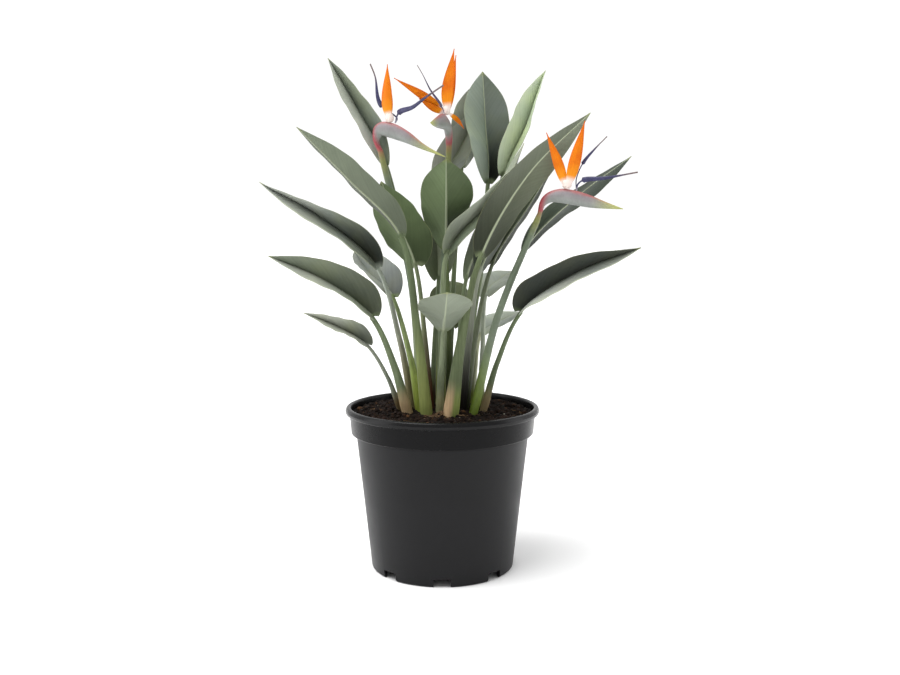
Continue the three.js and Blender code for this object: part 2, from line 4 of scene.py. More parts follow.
import bpy
import numpy as np
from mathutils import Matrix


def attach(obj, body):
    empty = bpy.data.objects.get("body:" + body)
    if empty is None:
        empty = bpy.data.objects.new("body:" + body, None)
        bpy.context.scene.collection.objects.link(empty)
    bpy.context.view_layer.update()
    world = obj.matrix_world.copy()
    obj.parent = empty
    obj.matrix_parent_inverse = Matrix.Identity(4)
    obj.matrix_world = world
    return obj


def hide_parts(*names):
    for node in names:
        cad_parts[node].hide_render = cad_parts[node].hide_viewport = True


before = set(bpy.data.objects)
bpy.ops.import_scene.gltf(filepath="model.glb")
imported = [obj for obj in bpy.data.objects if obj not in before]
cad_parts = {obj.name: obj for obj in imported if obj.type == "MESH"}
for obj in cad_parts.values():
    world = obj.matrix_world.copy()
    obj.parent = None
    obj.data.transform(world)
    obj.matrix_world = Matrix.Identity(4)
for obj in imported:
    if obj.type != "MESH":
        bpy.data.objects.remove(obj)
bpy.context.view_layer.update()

MM = 0.001
TURN = 2 * math.pi
UP = np.array([0.0, 0.0, 1.0])

# ---------------- driving dimensions, as in the solids (mm)

SOIL_TOP = 241
SOIL_MOUND, MOUND_RADIUS = 4, 150
SOIL_ROUGHNESS = 2.2
SOIL_CLEAR = SOIL_TOP + SOIL_MOUND + 12
ROOT_DEPTH = 26
STEM_BOW = 0.12
LOBE = 9
WIDEST = 0.36
TAPER = 1.35
MARGIN_WAVE, FINE_WAVE = 1.6, 0.5
BELLY = 0.22
SKIN = 0.9
THIN_EDGE = 0.55


def leaf(root, neck, tip, arch, half, fold, turn, radii, bow=STEM_BOW, widest=WIDEST, taper=TAPER):
    """fold and turn: at the blade's base and at its tip; radii: at the soil and at the neck."""
    return dict(root=root, neck=np.array(neck, float), tip=np.array(tip, float), arch=arch, half=half,
                fold=fold, turn=turn, radii=radii, bow=bow, widest=widest, taper=taper)


LEAVES = {
    "leaf_01": leaf((-35, 41), (-90, 60, 627), (-186, 120, 799), 3, 40, (62, 70), (-55, -61), (6, 3.2),
                    bow=0.22, widest=0.26),
    "leaf_02": leaf((-23, -44), (-61, -66, 514), (-202, -110, 663), 2, 43, (70, 62), (64, 60), (9.5, 4.2), widest=0.2),
    "leaf_03": leaf((-18, 2), (-41, -16, 471), (-90, -34, 593), -1, 46, (39, 48), (51, 88), (6, 3),
                    widest=0.3, taper=1.8),
    "leaf_04": leaf((12, 14), (6, 15, 497), (6, -18, 627), -4, 46, (56, 4), (6, -6), (6.5, 3.2), widest=0.32, taper=2),
    "leaf_05": leaf((-52, -26), (-105, -60, 395), (-248, -95, 484), 11, 39, (53, 56), (-58, -81), (8.5, 3.8),
                    widest=0.2),
    "leaf_06": leaf((-45, 8), (-102, 10, 467), (-281, 20, 595), 11, 42, (62, 73), (-66, -102), (6.5, 3.2), widest=0.2),
    "leaf_07": leaf((-33, -16), (-79, 30, 419), (-150, 150, 486), -6, 40, (34, 50), (-7, -7), (7.5, 3.2)),
    "leaf_08": leaf((-17, 46), (-7, 52, 448), (-11, 88, 570), 0, 36, (35, 50), (0, 0), (5, 2.6)),
    "leaf_09": leaf((-2, 2), (9, -18, 490), (136, 32, 639), -1, 32, (60, 75), (66, 68), (6, 3.6), widest=0.16),
    "leaf_10": leaf((18, -8), (38, 11, 451), (126, 35, 655), -1, 23, (55, 65), (-95, -95), (6, 3)),
    "leaf_11": leaf((12, -48), (58, -68, 486), (224, 8, 698), 18, 40, (52, 46), (-104, -116), (12, 4), widest=0.3),
    "leaf_12": leaf((47, -6), (128, 10, 494), (280, -30, 630), 8, 43, (70, 72), (-72, -98), (6.5, 3), widest=0.34),
    "leaf_13": leaf((-64, -4), (-112, -70, 355), (-197, -110, 404), 4, 26, (58, 70), (-75, -87), (4.5, 2.5),
                    widest=0.28),
    "leaf_14": leaf((-4, -22), (2, -60, 375), (8, -203, 438), -4, 41, (30, 10), (0, 0), (6.5, 3.5),
                    widest=0.3, taper=2),
    "leaf_15": leaf((4, 74), (15, 98, 366), (8, 200, 435), 4, 37, (20, 30), (-10, -10), (6.5, 4)),
    "leaf_16": leaf((8, 46), (32, 150, 631), (53, 198, 770), -1, 36, (35, 50), (20, 20), (6, 3)),
    "leaf_17": leaf((-8, 58), (-3, 118, 596), (58, 160, 719), -1, 34, (35, 50), (45, 45), (6, 3)),
    "leaf_18": leaf((27, 57), (73, 88, 601), (65, 140, 781), 1, 42, (54, 4), (-2, -1), (7, 3.4),
                    widest=0.24, taper=1.9),
    "leaf_19": leaf((30, 44), (97, 70, 611), (166, 112, 778), -6, 42, (64, 72), (47, 36), (6.5, 3.2)),
    "leaf_20": leaf((34, 12), (79, 28, 472), (191, 75, 649), -1, 31, (45, 58), (-85, -85), (7, 3)),
    "leaf_21": leaf((30, -14), (59, -12, 464), (162, 10, 643), 1, 34, (50, 60), (-85, -85), (7, 3.2)),
    "leaf_22": leaf((62, -8), (120, -35, 401), (281, -110, 496), 12, 38, (60, 56), (73, 95), (6, 3), widest=0.2),
    "leaf_23": leaf((60, 32), (70, 80, 419), (120, 200, 452), 5, 34, (8, 20), (0, 0), (6, 3)),
    "leaf_24": leaf((46, 52), (62, 90, 353), (132, 190, 382), 3, 33, (8, 20), (0, 0), (6, 3)),
}

# foot colours are partly the stalks' own and partly painted shade in the crowded base of the clump
STALK, STALK_LIGHT, STALK_DARK = 0x6A7658, 0x7E8A6A, 0x434F30
FOOT_GREEN = 0x6E7638


def look(blade, low, high, stalk=STALK, foot=FOOT_GREEN, rib=1.6, rise=0.3, foot_right=None, edge=0):
    """low and high: painted light and painted shade on the blade's two halves at its base and tip, as factors on its
    colour; rib: half width of the pale rib line in mm;
    rise: share of the stalk over which the foot's colour fades, a colour partly the stalk's own and partly painted
    shade in the crowded base of the clump; foot_right: its colour on the +X side;
    edge: the half, -1 or 1, with a pale line along its margin."""
    return dict(blade=linear(blade), stalk=linear(stalk), foot=linear(foot), low=low, high=high, rib=rib, rise=rise,
                foot_right=linear(foot_right or foot), edge=edge)


def linear(code):
    """A linear RGBA colour from an sRGB hex code."""
    parts = [(code >> shift & 255) / 255 for shift in (16, 8, 0)]
    return tuple(c / 12.92 if c <= 0.04045 else ((c + 0.055) / 1.055) ** 2.4 for c in parts) + (1.0,)


# low and high in each look: painted light and painted shade on the blade's two halves, at base and tip
LOOKS = {
    "leaf_01": look(0x7C857A, (2.3, 0.9), (1.9, 0.8)),
    "leaf_02": look(0x78806C, (0.6, 0.38), (0.9, 0.48), 0x5C684C, 0x788048, rise=0.7),
    "leaf_03": look(0x5A6846, (0.44, 0.95), (1.0, 1.35), 0x727C5E, 0x4A2A1C, rise=0.85),
    "leaf_04": look(0x62704F, (0.09, 0.9), (0.7, 1.1), 0x5A6644, 0x343C1E, rib=3.2, rise=0.85),
    "leaf_05": look(0x6C7464, (1.3, 0.5), (1.9, 1.1), foot=0xB09874, edge=-1),
    "leaf_06": look(0x6E756E, (1.15, 0.28), (1.75, 1.75), 0x969D91, 0x706848, rise=0.95, edge=-1),
    "leaf_07": look(0x848A86, (1.3, 0.52), (0.95, 0.95), 0x7C8A60, 0x7C8A36, rise=0.85),
    "leaf_08": look(0x4A5638, (1.6, 3.0), (2.2, 2.6), foot=0x40301F),
    "leaf_09": look(0x6A7460, (1.6, 0.88), (5.0, 0.75), STALK_LIGHT),
    "leaf_10": look(0x525A44, (0.6, 1.3), (1.5, 3.4)),
    "leaf_11": look(0x626854, (0.32, 0.21), (1.2, 0.65), 0x5E684C, 0xBCA07C, rise=0.22, foot_right=0x869252),
    "leaf_12": look(0x545F50, (0.22, 1.4), (0.45, 0.5), 0x6C7260, 0x6E8A2C),
    "leaf_13": look(0x747A6E, (1.9, 0.65), (1.8, 1.95), 0x868C7C, 0x7A6A4C, edge=-1),
    "leaf_14": look(0x7C8272, (1.1, 0.98), (1.1, 0.95), 0x7E886C, 0xA4A47A, rib=2.4),
    "leaf_15": look(0x3E4826, (0.5, 0.7), (0.6, 1.0), STALK_DARK, STALK_DARK),
    "leaf_16": look(0x70766C, (1.5, 2.2), (1.4, 1.2)),
    "leaf_17": look(0x666C62, (2.1, 0.7), (1.7, 0.8)),
    "leaf_18": look(0x828E82, (1.5, 0.04), (0.88, 0.44)),
    "leaf_19": look(0xA0AE92, (1.6, 0.8), (1.55, 1.35)),
    "leaf_20": look(0x4C5640, (0.3, 0.8), (0.28, 0.8), 0x666E58, 0x262A14),
    "leaf_21": look(0x50584A, (0.6, 0.6), (0.8, 0.8), 0x9CA290, 0x100C08, rise=1.25),
    "leaf_22": look(0x5C625C, (0.38, 3.4), (0.47, 1.5), 0x5C684C, 0x8A7A5A, edge=1),
    "leaf_23": look(0x868E82, (1.2, 1.2), (1.2, 0.8), 0x9CA392),
    "leaf_24": look(0x98A096, (1.3, 1.3), (1.3, 1.2), 0xA4A88C),
}

BLOOMS = {
    "bloom_1": {
        "root": (-31, 21), "neck": (-95, 31, 641), "bow": 0.22, "heading": -24,
        "beak": [((-4.5, 0), (4.5, 0)), ((-13, 21), (-3, 17)), ((-11, 39), (2, 25)), ((1, 46), (10, 23)),
                 ((22, 43), (23, 19)), ((47, 30), (44, 12)), ((75, 9), (70, 2)), ((109, -10), (108, -11))],
        "cup": (15, 1, 44.8),
        "sepals": [
            {"path": [(14, 0, 50), (12, -2, 72), (14, -3, 131)], "half": 10},
            {"path": [(12, 4, 50), (10.5, 8, 74), (10, 11, 112)], "half": 7},
        ],
        "petals": [
            {"path": [(23.2, 4, 43.8), (31, 0, 58), (60, -10, 64), (85, -17, 76), (117, -24, 90.5)], "half": 4.6,
             "head": (0.15, 0.8)},
            {"path": [(23.2, 4, 43.8), (22, 12, 52), (-8, 12, 76.5), (-16, 13, 117), (-24.5, 13, 137)], "half": 4.2,
             "head": (0.4, 0.8)},
        ],
    },
    "bloom_2": {
        "root": (-3, 26), "neck": (10, 50, 652), "bow": STEM_BOW, "heading": -103,
        "beak": [((-5, 0), (4, 0)), ((-6, 20), (6, 13)), ((5, 37), (16, 21)), ((28, 45), (32, 22)),
                 ((54, 43), (54, 21)), ((78, 36), (77, 20)), ((100, 29), (99, 20)), ((118, 23), (118, 22))],
        "cup": (24, 2, 45.4),
        "sepals": [
            {"path": [(25, 3, 50), (24, 3, 78), (25, 14, 143)], "half": 10, "face": (1, 0, 0)},
            {"path": [(22, 4, 50), (17, 7, 80), (12, 14, 136)], "half": 7, "face": (1, 0, 0)},
            {"path": [(27, -1, 50), (52, -26, 70), (90, -62, 92)], "half": 8, "face": (1, 0, -0.6)},
            {"path": [(26, -2, 48), (42, -18, 56), (57, -33, 66)], "half": 6.5, "face": (1, 0, -0.6)},
            {"path": [(20, 5, 48), (5, 14, 40), (-18, 20, 29)], "half": 4, "face": (1, 0, 0)},
        ],
        "petals": [
            {"path": [(40, 3, 43.6), (44, -2, 56.5), (56, -15, 77), (68, -24, 98.5), (74, -31, 112)], "half": 4.4,
             "head": (0.16, 0.78)},
        ],
    },
    "bloom_3": {
        "root": (46, -34), "neck": (146, -30, 547), "bow": STEM_BOW, "heading": -16,
        "beak": [((-4, 0), (3, 0)), ((0, 18), (7, 10)), ((10, 29), (17, 15)), ((30, 35), (31, 14)),
                 ((52, 32), (49, 11)), ((74, 25), (71, 7)), ((97, 15), (96, 5)), ((122, 5), (122, 4))],
        "cup": (39.5, 0, 35),
        "sepals": [
            {"path": [(37, 0, 39), (26, 0, 72), (8, 0, 117)], "half": 8.3},
            {"path": [(42, -2, 39), (51, -3, 74), (65, -3, 132)], "half": 9.6},
            {"path": [(41, 3, 39), (48, 8, 64), (55, 12, 100)], "half": 6},
        ],
        "petals": [
            {"path": [(53, 3, 31.6), (55, 3, 41), (63, 2, 47), (95, 0, 49.5), (142, 0, 57)], "half": 4.2,
             "head": (0.2, 0.8)},
            {"path": [(53, 3, 31.6), (52, 9, 50), (61.5, 9, 72.5), (78, 9, 92), (96, 9, 110)], "half": 2.8,
             "head": (0.46, 0.85)},
        ],
    },
}
SCAPE_RADII = (7, 4.6)
BEAK_HALF_WIDTH = 6.5
SEPAL_THICKNESS = 2.4
PETAL_THICKNESS = 2.2
PETAL_STALK = 0.28
SEPAL_CUP, PETAL_CUP, PETAL_STEPS = 0.16, 0.3, 90
CUP_RINGS = [(0, 4, 3), (3, 7, 5.5), (8, 7, 5.5), (13, 4.5, 3.5)]
CUP_HEIGHT = CUP_RINGS[-1][0]

# ---------------- vectors and curves


def mix(a, b, t):
    return a + (b - a) * t


def unit(v):
    return v / np.linalg.norm(v)


def angles(count):
    """The angles of a ring's points, half a step past its sides."""
    return [(i + 0.5) * TURN / count for i in range(count)]


def across_to(direction, tangent):
    """The direction turned square to the tangent."""
    return unit(direction - tangent * (direction @ tangent))


def catmull(points):
    """Centripetal Catmull-Rom curve through the points: position and unit tangent at t from 0 to 1."""
    pts = [np.array(p, float) for p in points]
    last = len(pts) - 1

    def at(t):
        place = min(max(t, 0.0), 1.0) * last
        i = min(int(place), last - 1)
        w = place - i
        p1, p2 = pts[i], pts[i + 1]
        p0 = pts[i - 1] if i > 0 else 2 * p1 - p2
        p3 = pts[i + 2] if i + 2 <= last else 2 * p2 - p1
        d0, d1, d2 = (max(np.linalg.norm(a - b), 1e-6) ** 0.5 for a, b in ((p0, p1), (p1, p2), (p2, p3)))
        t1 = ((p1 - p0) / d0 - (p2 - p0) / (d0 + d1) + (p2 - p1) / d1) * d1
        t2 = ((p2 - p1) / d1 - (p3 - p1) / (d1 + d2) + (p3 - p2) / d2) * d1
        c2 = 3 * (p2 - p1) - 2 * t1 - t2
        c3 = 2 * (p1 - p2) + t1 + t2
        return p1 + t1 * w + c2 * w * w + c3 * w ** 3

    def tangent(t):
        a, b = max(0.0, t - 1e-4), min(1.0, t + 1e-4)
        return unit(at(b) - at(a))

    return at, tangent


def even(at, steps=200):
    """A function that gives t for a share of the curve's length, and that length."""
    ts = np.linspace(0, 1, steps + 1)
    spots = np.array([at(t) for t in ts])
    run = np.concatenate([[0], np.cumsum(np.linalg.norm(np.diff(spots, axis=0), axis=1))])
    return lambda share: float(np.interp(share, run / run[-1], ts)), run[-1]


def smooth(a, b, x):
    t = np.clip((x - a) / (b - a), 0, 1)
    return t * t * (3 - 2 * t)


# ---------------- meshes


def skin(name, rings, fields):
    """A closed skin through rings of equal count. fields: attribute name to one value per point."""
    count = len(rings[0])
    points = np.array(rings, float).reshape(-1, 3)
    faces = []
    for r in range(len(rings) - 1):
        for i in range(count):
            a = r * count + i
            b = r * count + (i + 1) % count
            faces.append((a, b, b + count, a + count))
    last = (len(rings) - 1) * count
    for i in range(count // 2 - 1):
        back = count - 1 - i
        faces.append((i + 1, i, back, back - 1))
        faces.append((last + i, last + i + 1, last + back - 1, last + back))
    return mesh_object(name, points, faces, fields)


def in_scene(name, data):
    """A new object that holds the data."""
    obj = bpy.data.objects.new(name, data)
    bpy.context.scene.collection.objects.link(obj)
    return obj


def mesh_object(name, points, faces, fields=None, sharp=50):
    """A mesh from points in mm, smooth but for edges sharper than the angle sharp."""
    mesh = bpy.data.meshes.new(name)
    mesh.from_pydata((np.asarray(points) * MM).tolist(), [], faces)
    for key, values in (fields or {}).items():
        layer = mesh.attributes.new(key, "FLOAT", "POINT")
        layer.data.foreach_set("value", np.asarray(values, np.float32).ravel())
    mesh.validate()
    mesh.update()
    obj = in_scene(name, mesh)
    face_out(mesh)
    mesh.shade_smooth()
    if sharp:
        mesh.set_sharp_from_angle(angle=math.radians(sharp))
    return obj


def face_out(mesh):
    """Turns the faces round if the closed mesh encloses a negative volume."""
    mesh.calc_loop_triangles()
    co = np.empty(len(mesh.vertices) * 3)
    mesh.vertices.foreach_get("co", co)
    co = co.reshape(-1, 3)
    tri = np.empty(len(mesh.loop_triangles) * 3, int)
    mesh.loop_triangles.foreach_get("vertices", tri)
    a, b, c = (co[tri.reshape(-1, 3)[:, k]] for k in range(3))
    if np.einsum("ij,ij->i", a, np.cross(b, c)).sum() < 0:
        mesh.flip_normals()


def bridged(name, rows, sharp):
    """A mesh through rows of points, each a ring of equal count or a single point."""
    count = max(map(len, rows))
    points, faces, numbers = [], [], []
    for row in rows:
        numbers.append(range(len(points), len(points) + len(row)))
        points.extend(row)
    for a, b in zip(numbers, numbers[1:]):
        for i in range(count):
            j = (i + 1) % count
            face = dict.fromkeys([a[i % len(a)], a[j % len(a)], b[j % len(b)], b[i % len(b)]])
            if len(face) > 2:
                faces.append(tuple(face))
    return mesh_object(name, points, faces, sharp=sharp)


def turns(segments):
    return [TURN * i / segments for i in range(segments)]


def joined(objects, name):
    bpy.ops.object.select_all(action="DESELECT")
    for obj in objects:
        obj.select_set(True)
    bpy.context.view_layer.objects.active = objects[0]
    if len(objects) > 1:
        bpy.ops.object.join()
    objects[0].name = name
    objects[0].data.name = name
    return objects[0]


def dress(obj, node, material):
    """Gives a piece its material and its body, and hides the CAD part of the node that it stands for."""
    obj.data.materials.clear()
    obj.data.materials.append(material)
    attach(obj, "root")
    if node:
        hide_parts(node)


# ---------------- material helpers


class Nodes:
    """A node tree, with a short call for each kind of node."""

    def __init__(self, tree):
        self.tree = tree

    def node(self, kind, **settings):
        made = self.tree.nodes.new("ShaderNode" + kind)
        for key, value in settings.items():
            setattr(made, key, value)
        return made

    def link(self, a, b):
        self.tree.links.new(a, b)

    def feed(self, socket, value):
        if isinstance(value, bpy.types.NodeSocket):
            self.link(value, socket)
        else:
            socket.default_value = value

    def component(self, vector, axis):
        made = self.node("SeparateXYZ")
        self.link(vector, made.inputs[0])
        return made.outputs[axis]

    def field(self, name):
        return self.node("Attribute", attribute_name=name).outputs["Fac"]

    def place(self):
        return self.node("TexCoord").outputs["Object"]

    def math(self, operation, *values):
        made = self.node("Math", operation=operation)
        for socket, value in zip(made.inputs, values):
            self.feed(socket, value)
        return made.outputs[0]

    def times(self, a, b):
        return self.math("MULTIPLY", a, b)

    def plus(self, a, b):
        return self.math("ADD", a, b)

    def ramp(self, value, low, high, out_low=0.0, out_high=1.0, course="SMOOTHSTEP"):
        made = self.node("MapRange", interpolation_type=course)
        names = ("Value", "From Min", "From Max", "To Min", "To Max")
        for key, item in zip(names, (value, low, high, out_low, out_high)):
            self.feed(made.inputs[key], item)
        return made.outputs["Result"]

    def noise(self, where, scale, detail, roughness=0.55):
        """Noise at a point, or along a single value."""
        single = where is not None and where.type == "VALUE"
        made = self.node("TexNoise", noise_dimensions="1D" if single else "3D")
        for key, value in (("Scale", scale), ("Detail", detail), ("Roughness", roughness)):
            made.inputs[key].default_value = value
        if where is not None:
            self.link(where, made.inputs["W" if single else "Vector"])
        return made.outputs["Fac"]

    def blend(self, fac, a, b, mode="MIX"):
        """A mix of two colours, each a socket, a linear colour or an sRGB hex code."""
        made = self.node("Mix", data_type="RGBA", blend_type=mode)
        for place, value in ((0, fac), (6, a), (7, b)):
            self.feed(made.inputs[place], linear(value) if isinstance(value, int) else value)
        return made.outputs[2]

    def shade(self, colour, factor):
        """The colour times a grey factor."""
        combine = self.node("CombineColor")
        for socket in combine.inputs:
            self.feed(socket, factor)
        return self.blend(1.0, colour, combine.outputs[0], "MULTIPLY")

    def stretched(self, vector, scale):
        made = self.node("Mapping")
        made.inputs["Scale"].default_value = scale
        self.link(vector, made.inputs["Vector"])
        return made.outputs["Vector"]

    def bump(self, height, distance, strength, normal=None):
        made = self.node("Bump")
        made.inputs["Strength"].default_value = strength
        made.inputs["Distance"].default_value = distance
        self.link(height, made.inputs["Height"])
        if normal is not None:
            self.link(normal, made.inputs["Normal"])
        return made.outputs["Normal"]


class Material(Nodes):
    def __init__(self, name):
        self.material = bpy.data.materials.new(name)
        self.material.use_nodes = True
        super().__init__(self.material.node_tree)

    def finish(self, colour, roughness, gloss, normal=None, **more):
        """Feeds the shader. gloss: specular level; more: other inputs, with _ for each space in their names."""
        inputs = {"Base Color": colour, "Roughness": roughness, "Specular IOR Level": gloss, **more}
        if normal is not None:
            inputs["Normal"] = normal
        for key, value in inputs.items():
            self.feed(self.tree.nodes["Principled BSDF"].inputs[key.replace("_", " ")], value)
        return self.material


# ---------------- leaves

BLADE_STEPS = 64
STEM_RINGS = 26
OUTER_STEPS = (0.0, 0.12, 0.26, 0.42, 0.6, 0.78, 0.92, 1.0)
RIB_STEPS = (0.45, 0.8, 1.0)
RIB_TIP = 0.55
RIB_FLANK = 1.25
RIB_GROOVE = 0.15
LEAST_REACH = 0.7
CHANNEL, CHANNEL_WIDTH = 0.16, 0.42
BURIED = -1.05


def stem_course(root, neck, bow):
    """A stalk's buried foot, its collar just over the soil, its middle, its top and its lean at the soil."""
    ground = np.array([root[0], root[1], SOIL_TOP], float)
    top = np.array(neck, float)
    middle = (ground + top) / 2
    middle[:2] -= bow * (top - ground)[:2]
    lean = unit(middle - ground)
    foot = ground + lean * (-ROOT_DEPTH / lean[2])
    collar = ground + lean * ((SOIL_CLEAR - SOIL_TOP) / lean[2])
    return foot, collar, middle, top, lean


def stem_radius(share, radii):
    return mix(radii[1], radii[0], (1 - share) ** 1.5)


def width_share(s, form):
    """The blade's half width at s, as a share of its widest."""
    widest = form["widest"]
    if s < widest:
        return math.sqrt(max(0.0, 1 - (1 - s / widest) ** 2))
    return math.cos(math.pi / 2 * ((s - widest) / (1 - widest)) ** form["taper"])


def square_up(form, turn):
    """The direction square to the blade's chord, turned about it from straight up."""
    chord = unit(form["tip"] - form["neck"])
    rise = across_to(UP, chord)
    angle = math.radians(turn)
    return math.cos(angle) * rise + math.sin(angle) * np.cross(chord, rise)


def stem_ring(centre, direction, side, up, radius, count, channel=0.0):
    """Points round a stalk, with a shallow channel along its upper side."""
    across = across_to(side, direction)
    rise = across_to(across_to(up, direction), across)
    ring = []
    for angle in angles(count):
        off = math.remainder(angle - math.pi / 2, TURN)
        r = radius * (1 - channel * math.exp(-(off / CHANNEL_WIDTH) ** 2))
        ring.append(centre + across * r * math.cos(angle) + rise * r * math.sin(angle))
    return ring


def blade_ring(centre, tangent, s, form, phase):
    """One ring of a blade, and its fields: share and distance across from the rib, both signed, and upper side."""
    rise = across_to(square_up(form, mix(*form["turn"], s)), tangent)
    side = np.cross(tangent, rise)
    fold = math.radians(mix(*form["fold"], s))
    fullness = width_share(s, form)
    reach = max(form["half"] * fullness, LEAST_REACH)
    sweep = LOBE * (1 - s / form["widest"]) ** 3 if s < form["widest"] else 0.0
    rib = min(mix(form["radii"][1], RIB_TIP, s ** 0.7), 0.55 * reach)
    flank = rib * RIB_FLANK
    offsets = [rib * k for k in RIB_STEPS] + [mix(flank, reach, k) for k in OUTER_STEPS]
    across = [(1, a) for a in reversed(offsets)] + [(0, 0.0)] + [(-1, a) for a in offsets]
    top, bottom, top_fields, bottom_fields = [], [], [], []
    for hand, a in across:
        q = a / reach
        out = hand * math.cos(fold) * side + math.sin(fold) * rise
        normal = rise if hand == 0 else hand * np.cross(out, tangent)
        normal = unit(mix(rise, normal, min(1.0, a / flank)))
        wave = MARGIN_WAVE * q * q * math.sin(TURN * (1.6 * s + 0.3 * hand)) * fullness
        wave += FINE_WAVE * q * q * math.sin(TURN * (5.3 * s + phase + 0.37 * hand)) * fullness
        belly = BELLY * reach * q * (1 - q)
        point = centre + out * a - tangent * sweep * q * q + normal * (belly + wave)
        edge = SKIN / 2 * mix(1.0, THIN_EDGE, smooth(0.8, 1.0, q))
        keel = max(edge, math.sqrt(max(0.0, rib * rib - a * a)))
        groove = RIB_GROOVE * rib * math.exp(-(a / (0.6 * rib)) ** 2)
        crown = mix(keel, edge - groove, smooth(0, 0.14, s))
        top.append(point + normal * crown)
        bottom.insert(0, point - normal * keel)
        top_fields.append((hand * q, hand * a, 1.0))
        bottom_fields.insert(0, (hand * q, hand * a, 0.0))
    return top + bottom, top_fields + bottom_fields


def leaf_object(name, form):
    """One leaf's skin, with along from -1 at the soil through 0 at the neck to 1 at the tip."""
    neck, tip, radii = form["neck"], form["tip"], form["radii"]
    up = square_up(form, form["turn"][0])
    side = np.cross(unit(tip - neck), up)
    foot, collar, middle, _, lean = stem_course(form["root"], neck, form["bow"])
    rib = (neck + tip) / 2 + square_up(form, 0) * form["arch"]
    at, tangent = catmull([collar, middle, neck, rib, tip])
    count = 2 * (2 * (len(RIB_STEPS) + len(OUTER_STEPS)) + 1)
    phase = random.Random(name).random()
    rings, fields, along, east = [], [], [], []

    def add_stem(centre, direction, radius, s):
        ring = stem_ring(centre, direction, side, up, radius, count, CHANNEL * smooth(-0.95, -0.6, s))
        rings.append(ring)
        east.extend((point[0] - centre[0]) / radius for point in ring)
        for angle in angles(count):
            fields.append((0.0, radius * math.remainder(angle - math.pi / 2, TURN), math.sin(angle) > 0))
        along.extend([s] * count)

    for k in range(4):
        add_stem(mix(foot, collar, k / 4), lean, radii[0] * mix(0.9, 1.0, k / 4), BURIED - 0.01 * (4 - k))
    for k in range(STEM_RINGS):
        share = 0.985 * k / (STEM_RINGS - 1)
        add_stem(at(share / 2), tangent(share / 2), stem_radius(share, radii), share - 1)
    for k in range(BLADE_STEPS + 1):
        s = 0.006 + 0.994 * (k / BLADE_STEPS) ** 1.25
        t = (1 + s) / 2
        ring, values = blade_ring(at(t), tangent(t), s, form, phase)
        rings.append(ring)
        fields.extend(values)
        along.extend([s] * count)
        east.extend([0.0] * count)
    run = np.array(along) * float(np.linalg.norm(tip - neck))
    q, off, upper = np.array(fields, float).T
    return skin(name, rings, {"along": along, "run": run, "q": q, "off": off, "upper": upper, "east": east})


LEAF_GLOSS = 0.22
VEIN_SWEEP, VEIN_CURVE = 1.15, 0.012
RIB_COLOUR, EDGE_COLOUR, MARGIN_COLOUR, TIP_COLOUR = 0x9CA489, 0xACB29C, 0x8C9068, 0x858A48


def tinted(rgba, r, g, b):
    return (min(1.0, rgba[0] * r), min(1.0, rgba[1] * g), min(1.0, rgba[2] * b), 1.0)


def greyed(rgba):
    """A near-neutral grey-green as light as the colour, for the painted sheen on halves painted lighter."""
    level = 0.2126 * rgba[0] + 0.7152 * rgba[1] + 0.0722 * rgba[2]
    return (level * 0.99, level * 1.01, level * 0.93, 1.0)


